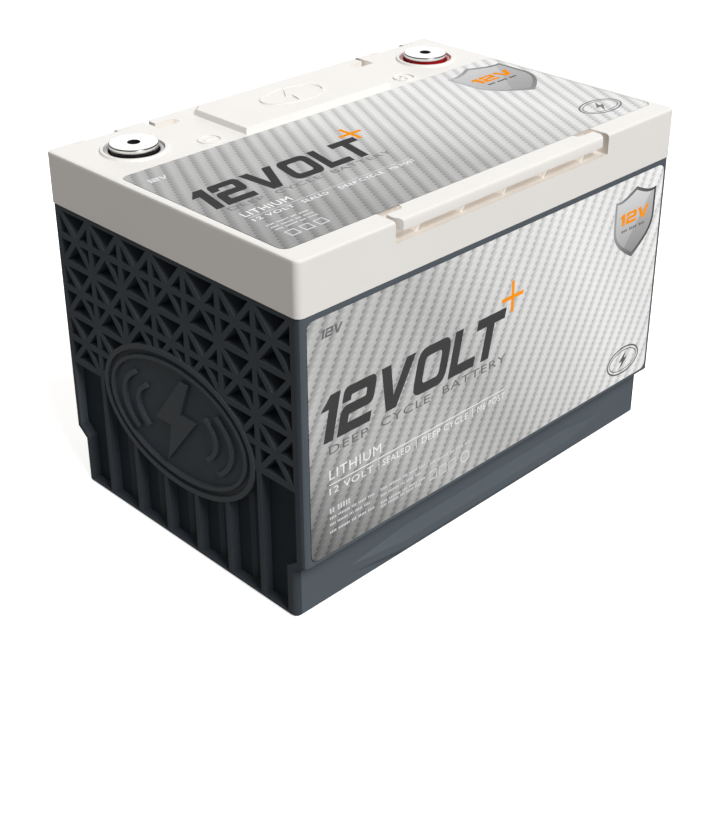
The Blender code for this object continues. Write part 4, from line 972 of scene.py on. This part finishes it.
for y in (-53.0, -56.0, -58.8):
    top_small += dashes(-115, -91, y, y + 1.1, [4, 6, 3, 5])
for n in range(3):
    x = -114.0 + 8.0 * n
    top_small += [oblong(x, -67.5, x + 5.4, -62.1), oblong(x + 0.6, -66.9, x + 4.8, -62.7)]
printed("top_small_print", top_small, on_top, silver_ink)
badge("top", on_top, TOP_BADGE, 1.8,
      badge_rim("top_badge_rim_foil", TOP_BADGE[0], TOP_BADGE[2]),
      badge_foil("top_badge_foil", "Y", -16.0, 27.0, 91.0, 0.28, 0.48),
      (86.5, 6.2, 116.5, 13.9), top_orange)
printed("top_badge_lines", dashes(90.0, 113.0, 2.0, 3.6, [3, 4, 3]), on_top, top_charcoal,
        thick=LINES_T)
printed("top_emblem", emblem(90.0, -68.0, 118.5, -51.0), on_top, rim_ink)


# ---------------------------------------- back label
# The back carries the same film, rating, badge and emblem as the front, so that the
# battery reads either way round.
def on_back(points):
    """From the back's own across, up and out to the frame: across is -X and out is +Y."""
    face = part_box("back_label")[1].y
    return np.stack([-points[:, 0] * MM, face + points[:, 2] * MM, points[:, 1] * MM], 1)


refinish(["back_label"], woven_film(
    "back_label_film", "Z", front_low,
    [(-120, 0.70), (-20, 0.66), (60, 0.60), (120, 0.52), (200, 0.46)],
    [(16, 0.95), (112, 1.0)]))
printed("back_rating", block_text("12VOLT", -119.5, SIDE_RATING[0], 1.5, SIDE_RATING[1]),
        on_back, charcoal_ink)
printed("back_purpose", None, on_back, grey_ink, text=SIDE_PURPOSE)
printed("back_plus", [SIDE_PLUS], on_back, orange_ink)
badge("back", on_back, SIDE_BADGE, SIDE_BADGE_RIM,
      badge_rim("back_badge_rim_foil", -SIDE_BADGE[2], -SIDE_BADGE[0]),
      badge_foil("back_badge_foil", "Z", *SIDE_FOIL, -112.0, *SIDE_FOIL_TONES),
      SIDE_BADGE_RATING, orange_ink)
printed("back_emblem", emblem(*SIDE_EMBLEM), on_back, rim_ink)


# ---------------------------------------- studio
# A pale seamless floor that curves up into a far wall, a soft high key from the front, an
# even dim sky, and the camera.
FLOOR_WHITE = 0.90
FLOOR_GLOW = 0.67
WALL_GLOW = 1.5  # the glow grows this much for each metre up the wall
FLOOR_R = 3.0
COVE_R = 1.5
WALL_TOP = 5.0
COVE_SIDES = 96
SKY = 0.305
SKY_COLOUR = (1.0, 0.97, 0.93, 1.0)
KEY = 3.2
KEY_FROM = (-0.02, -0.645, 0.765)
KEY_SOFT = math.radians(28)
PANEL = 12.0  # a wide soft panel behind and to the right
PANEL_AT = (1.45, 1.70, 0.95)
PANEL_FROM = (1.45, 1.70, 0.80)
PANEL_WIDE, PANEL_HIGH = 2.8, 1.5
CAMERA_AT = (-0.46696, -0.46378, 0.42063)
CAMERA_TURN = (1.08977, -0.00061, -0.78654)
FOCAL_LENGTH = 62.1019  # in mm, on a sensor 36 mm wide
SHIFT_X, SHIFT_Y = -0.01153, -0.11478

bend = np.linspace(0.0, np.pi / 2, 12)
cove_r = np.concatenate([[0.001, 0.6, 1.5], FLOOR_R + COVE_R * np.sin(bend), [FLOOR_R + COVE_R]])
cove_z = np.concatenate([[0.0, 0.0, 0.0], COVE_R * (1 - np.cos(bend)), [WALL_TOP]])
turn = np.linspace(0.0, 2.0 * np.pi, COVE_SIDES, endpoint=False)
cove_points = np.stack([cove_r[:, None] * np.cos(turn), cove_r[:, None] * np.sin(turn),
                        np.repeat(cove_z[:, None], COVE_SIDES, 1)], -1).reshape(-1, 3)
row, column = np.arange(len(cove_r) - 1)[:, None] * COVE_SIDES, np.arange(COVE_SIDES)[None, :]
after = (column + 1) % COVE_SIDES
cove_faces = np.stack([row + column, row + after, row + COVE_SIDES + after,
                       row + COVE_SIDES + column], -1).reshape(-1, 4)
cove_mesh = bpy.data.meshes.new("studio_floor")
cove_mesh.from_pydata(cove_points.tolist(), [],
                      cove_faces.tolist() + [list(range(COVE_SIDES))[::-1]])
cove_mesh.polygons.foreach_set("use_smooth", np.ones(len(cove_mesh.polygons), bool))
cove_paint, tree, shader = blank("studio_floor_paint")
place = object_place(tree)
tree.links.new(tinted(tree, (FLOOR_WHITE,) * 3, mottle(tree, place, 0.5, 2.0, 0.995, 1.005)),
               shader.inputs["Base Color"])
shader.inputs["Roughness"].default_value = 0.95
shader.inputs["Specular IOR Level"].default_value = 0.0
shader.inputs["Emission Color"].default_value = (1.0, 1.0, 1.0, 1.0)
wall_glow = calc(tree, "MULTIPLY", axes(tree, place)["Z"], WALL_GLOW, clamp=True)
tree.links.new(calc(tree, "ADD", wall_glow, FLOOR_GLOW), shader.inputs["Emission Strength"])
cove_mesh.materials.append(cove_paint)
cove = bpy.data.objects.new("studio_floor", cove_mesh)
cove.visible_diffuse = False
cove.visible_shadow = False
cove.visible_glossy = False
scene.collection.objects.link(cove)

sky = bpy.data.worlds.new("studio_sky")
sky.use_nodes = True
sky.node_tree.nodes["Background"].inputs["Color"].default_value = SKY_COLOUR
sky.node_tree.nodes["Background"].inputs["Strength"].default_value = SKY
scene.world = sky


def hung(name, lamp, towards):
    """A lamp in the scene that shines from the direction of towards."""
    made = bpy.data.objects.new(name, lamp)
    made.rotation_euler = Vector(towards).to_track_quat("Z", "Y").to_euler()
    scene.collection.objects.link(made)
    return made


key_lamp = bpy.data.lights.new("key", "SUN")
key_lamp.energy = KEY
key_lamp.angle = KEY_SOFT
hung("key", key_lamp, KEY_FROM)
panel_lamp = bpy.data.lights.new("back_panel", "AREA")
panel_lamp.shape = "RECTANGLE"
panel_lamp.size, panel_lamp.size_y = PANEL_WIDE, PANEL_HIGH
panel_lamp.energy = PANEL
hung("back_panel", panel_lamp, PANEL_FROM).location = PANEL_AT

lens = bpy.data.cameras.new("camera")
lens.sensor_width = 36.0
lens.lens = FOCAL_LENGTH
lens.shift_x, lens.shift_y = SHIFT_X, SHIFT_Y
lens.clip_start, lens.clip_end = 0.02, 30.0
camera = bpy.data.objects.new("camera", lens)
camera.location = CAMERA_AT
camera.rotation_euler = CAMERA_TURN
scene.collection.objects.link(camera)
scene.camera = camera
scene.view_settings.view_transform = "Standard"
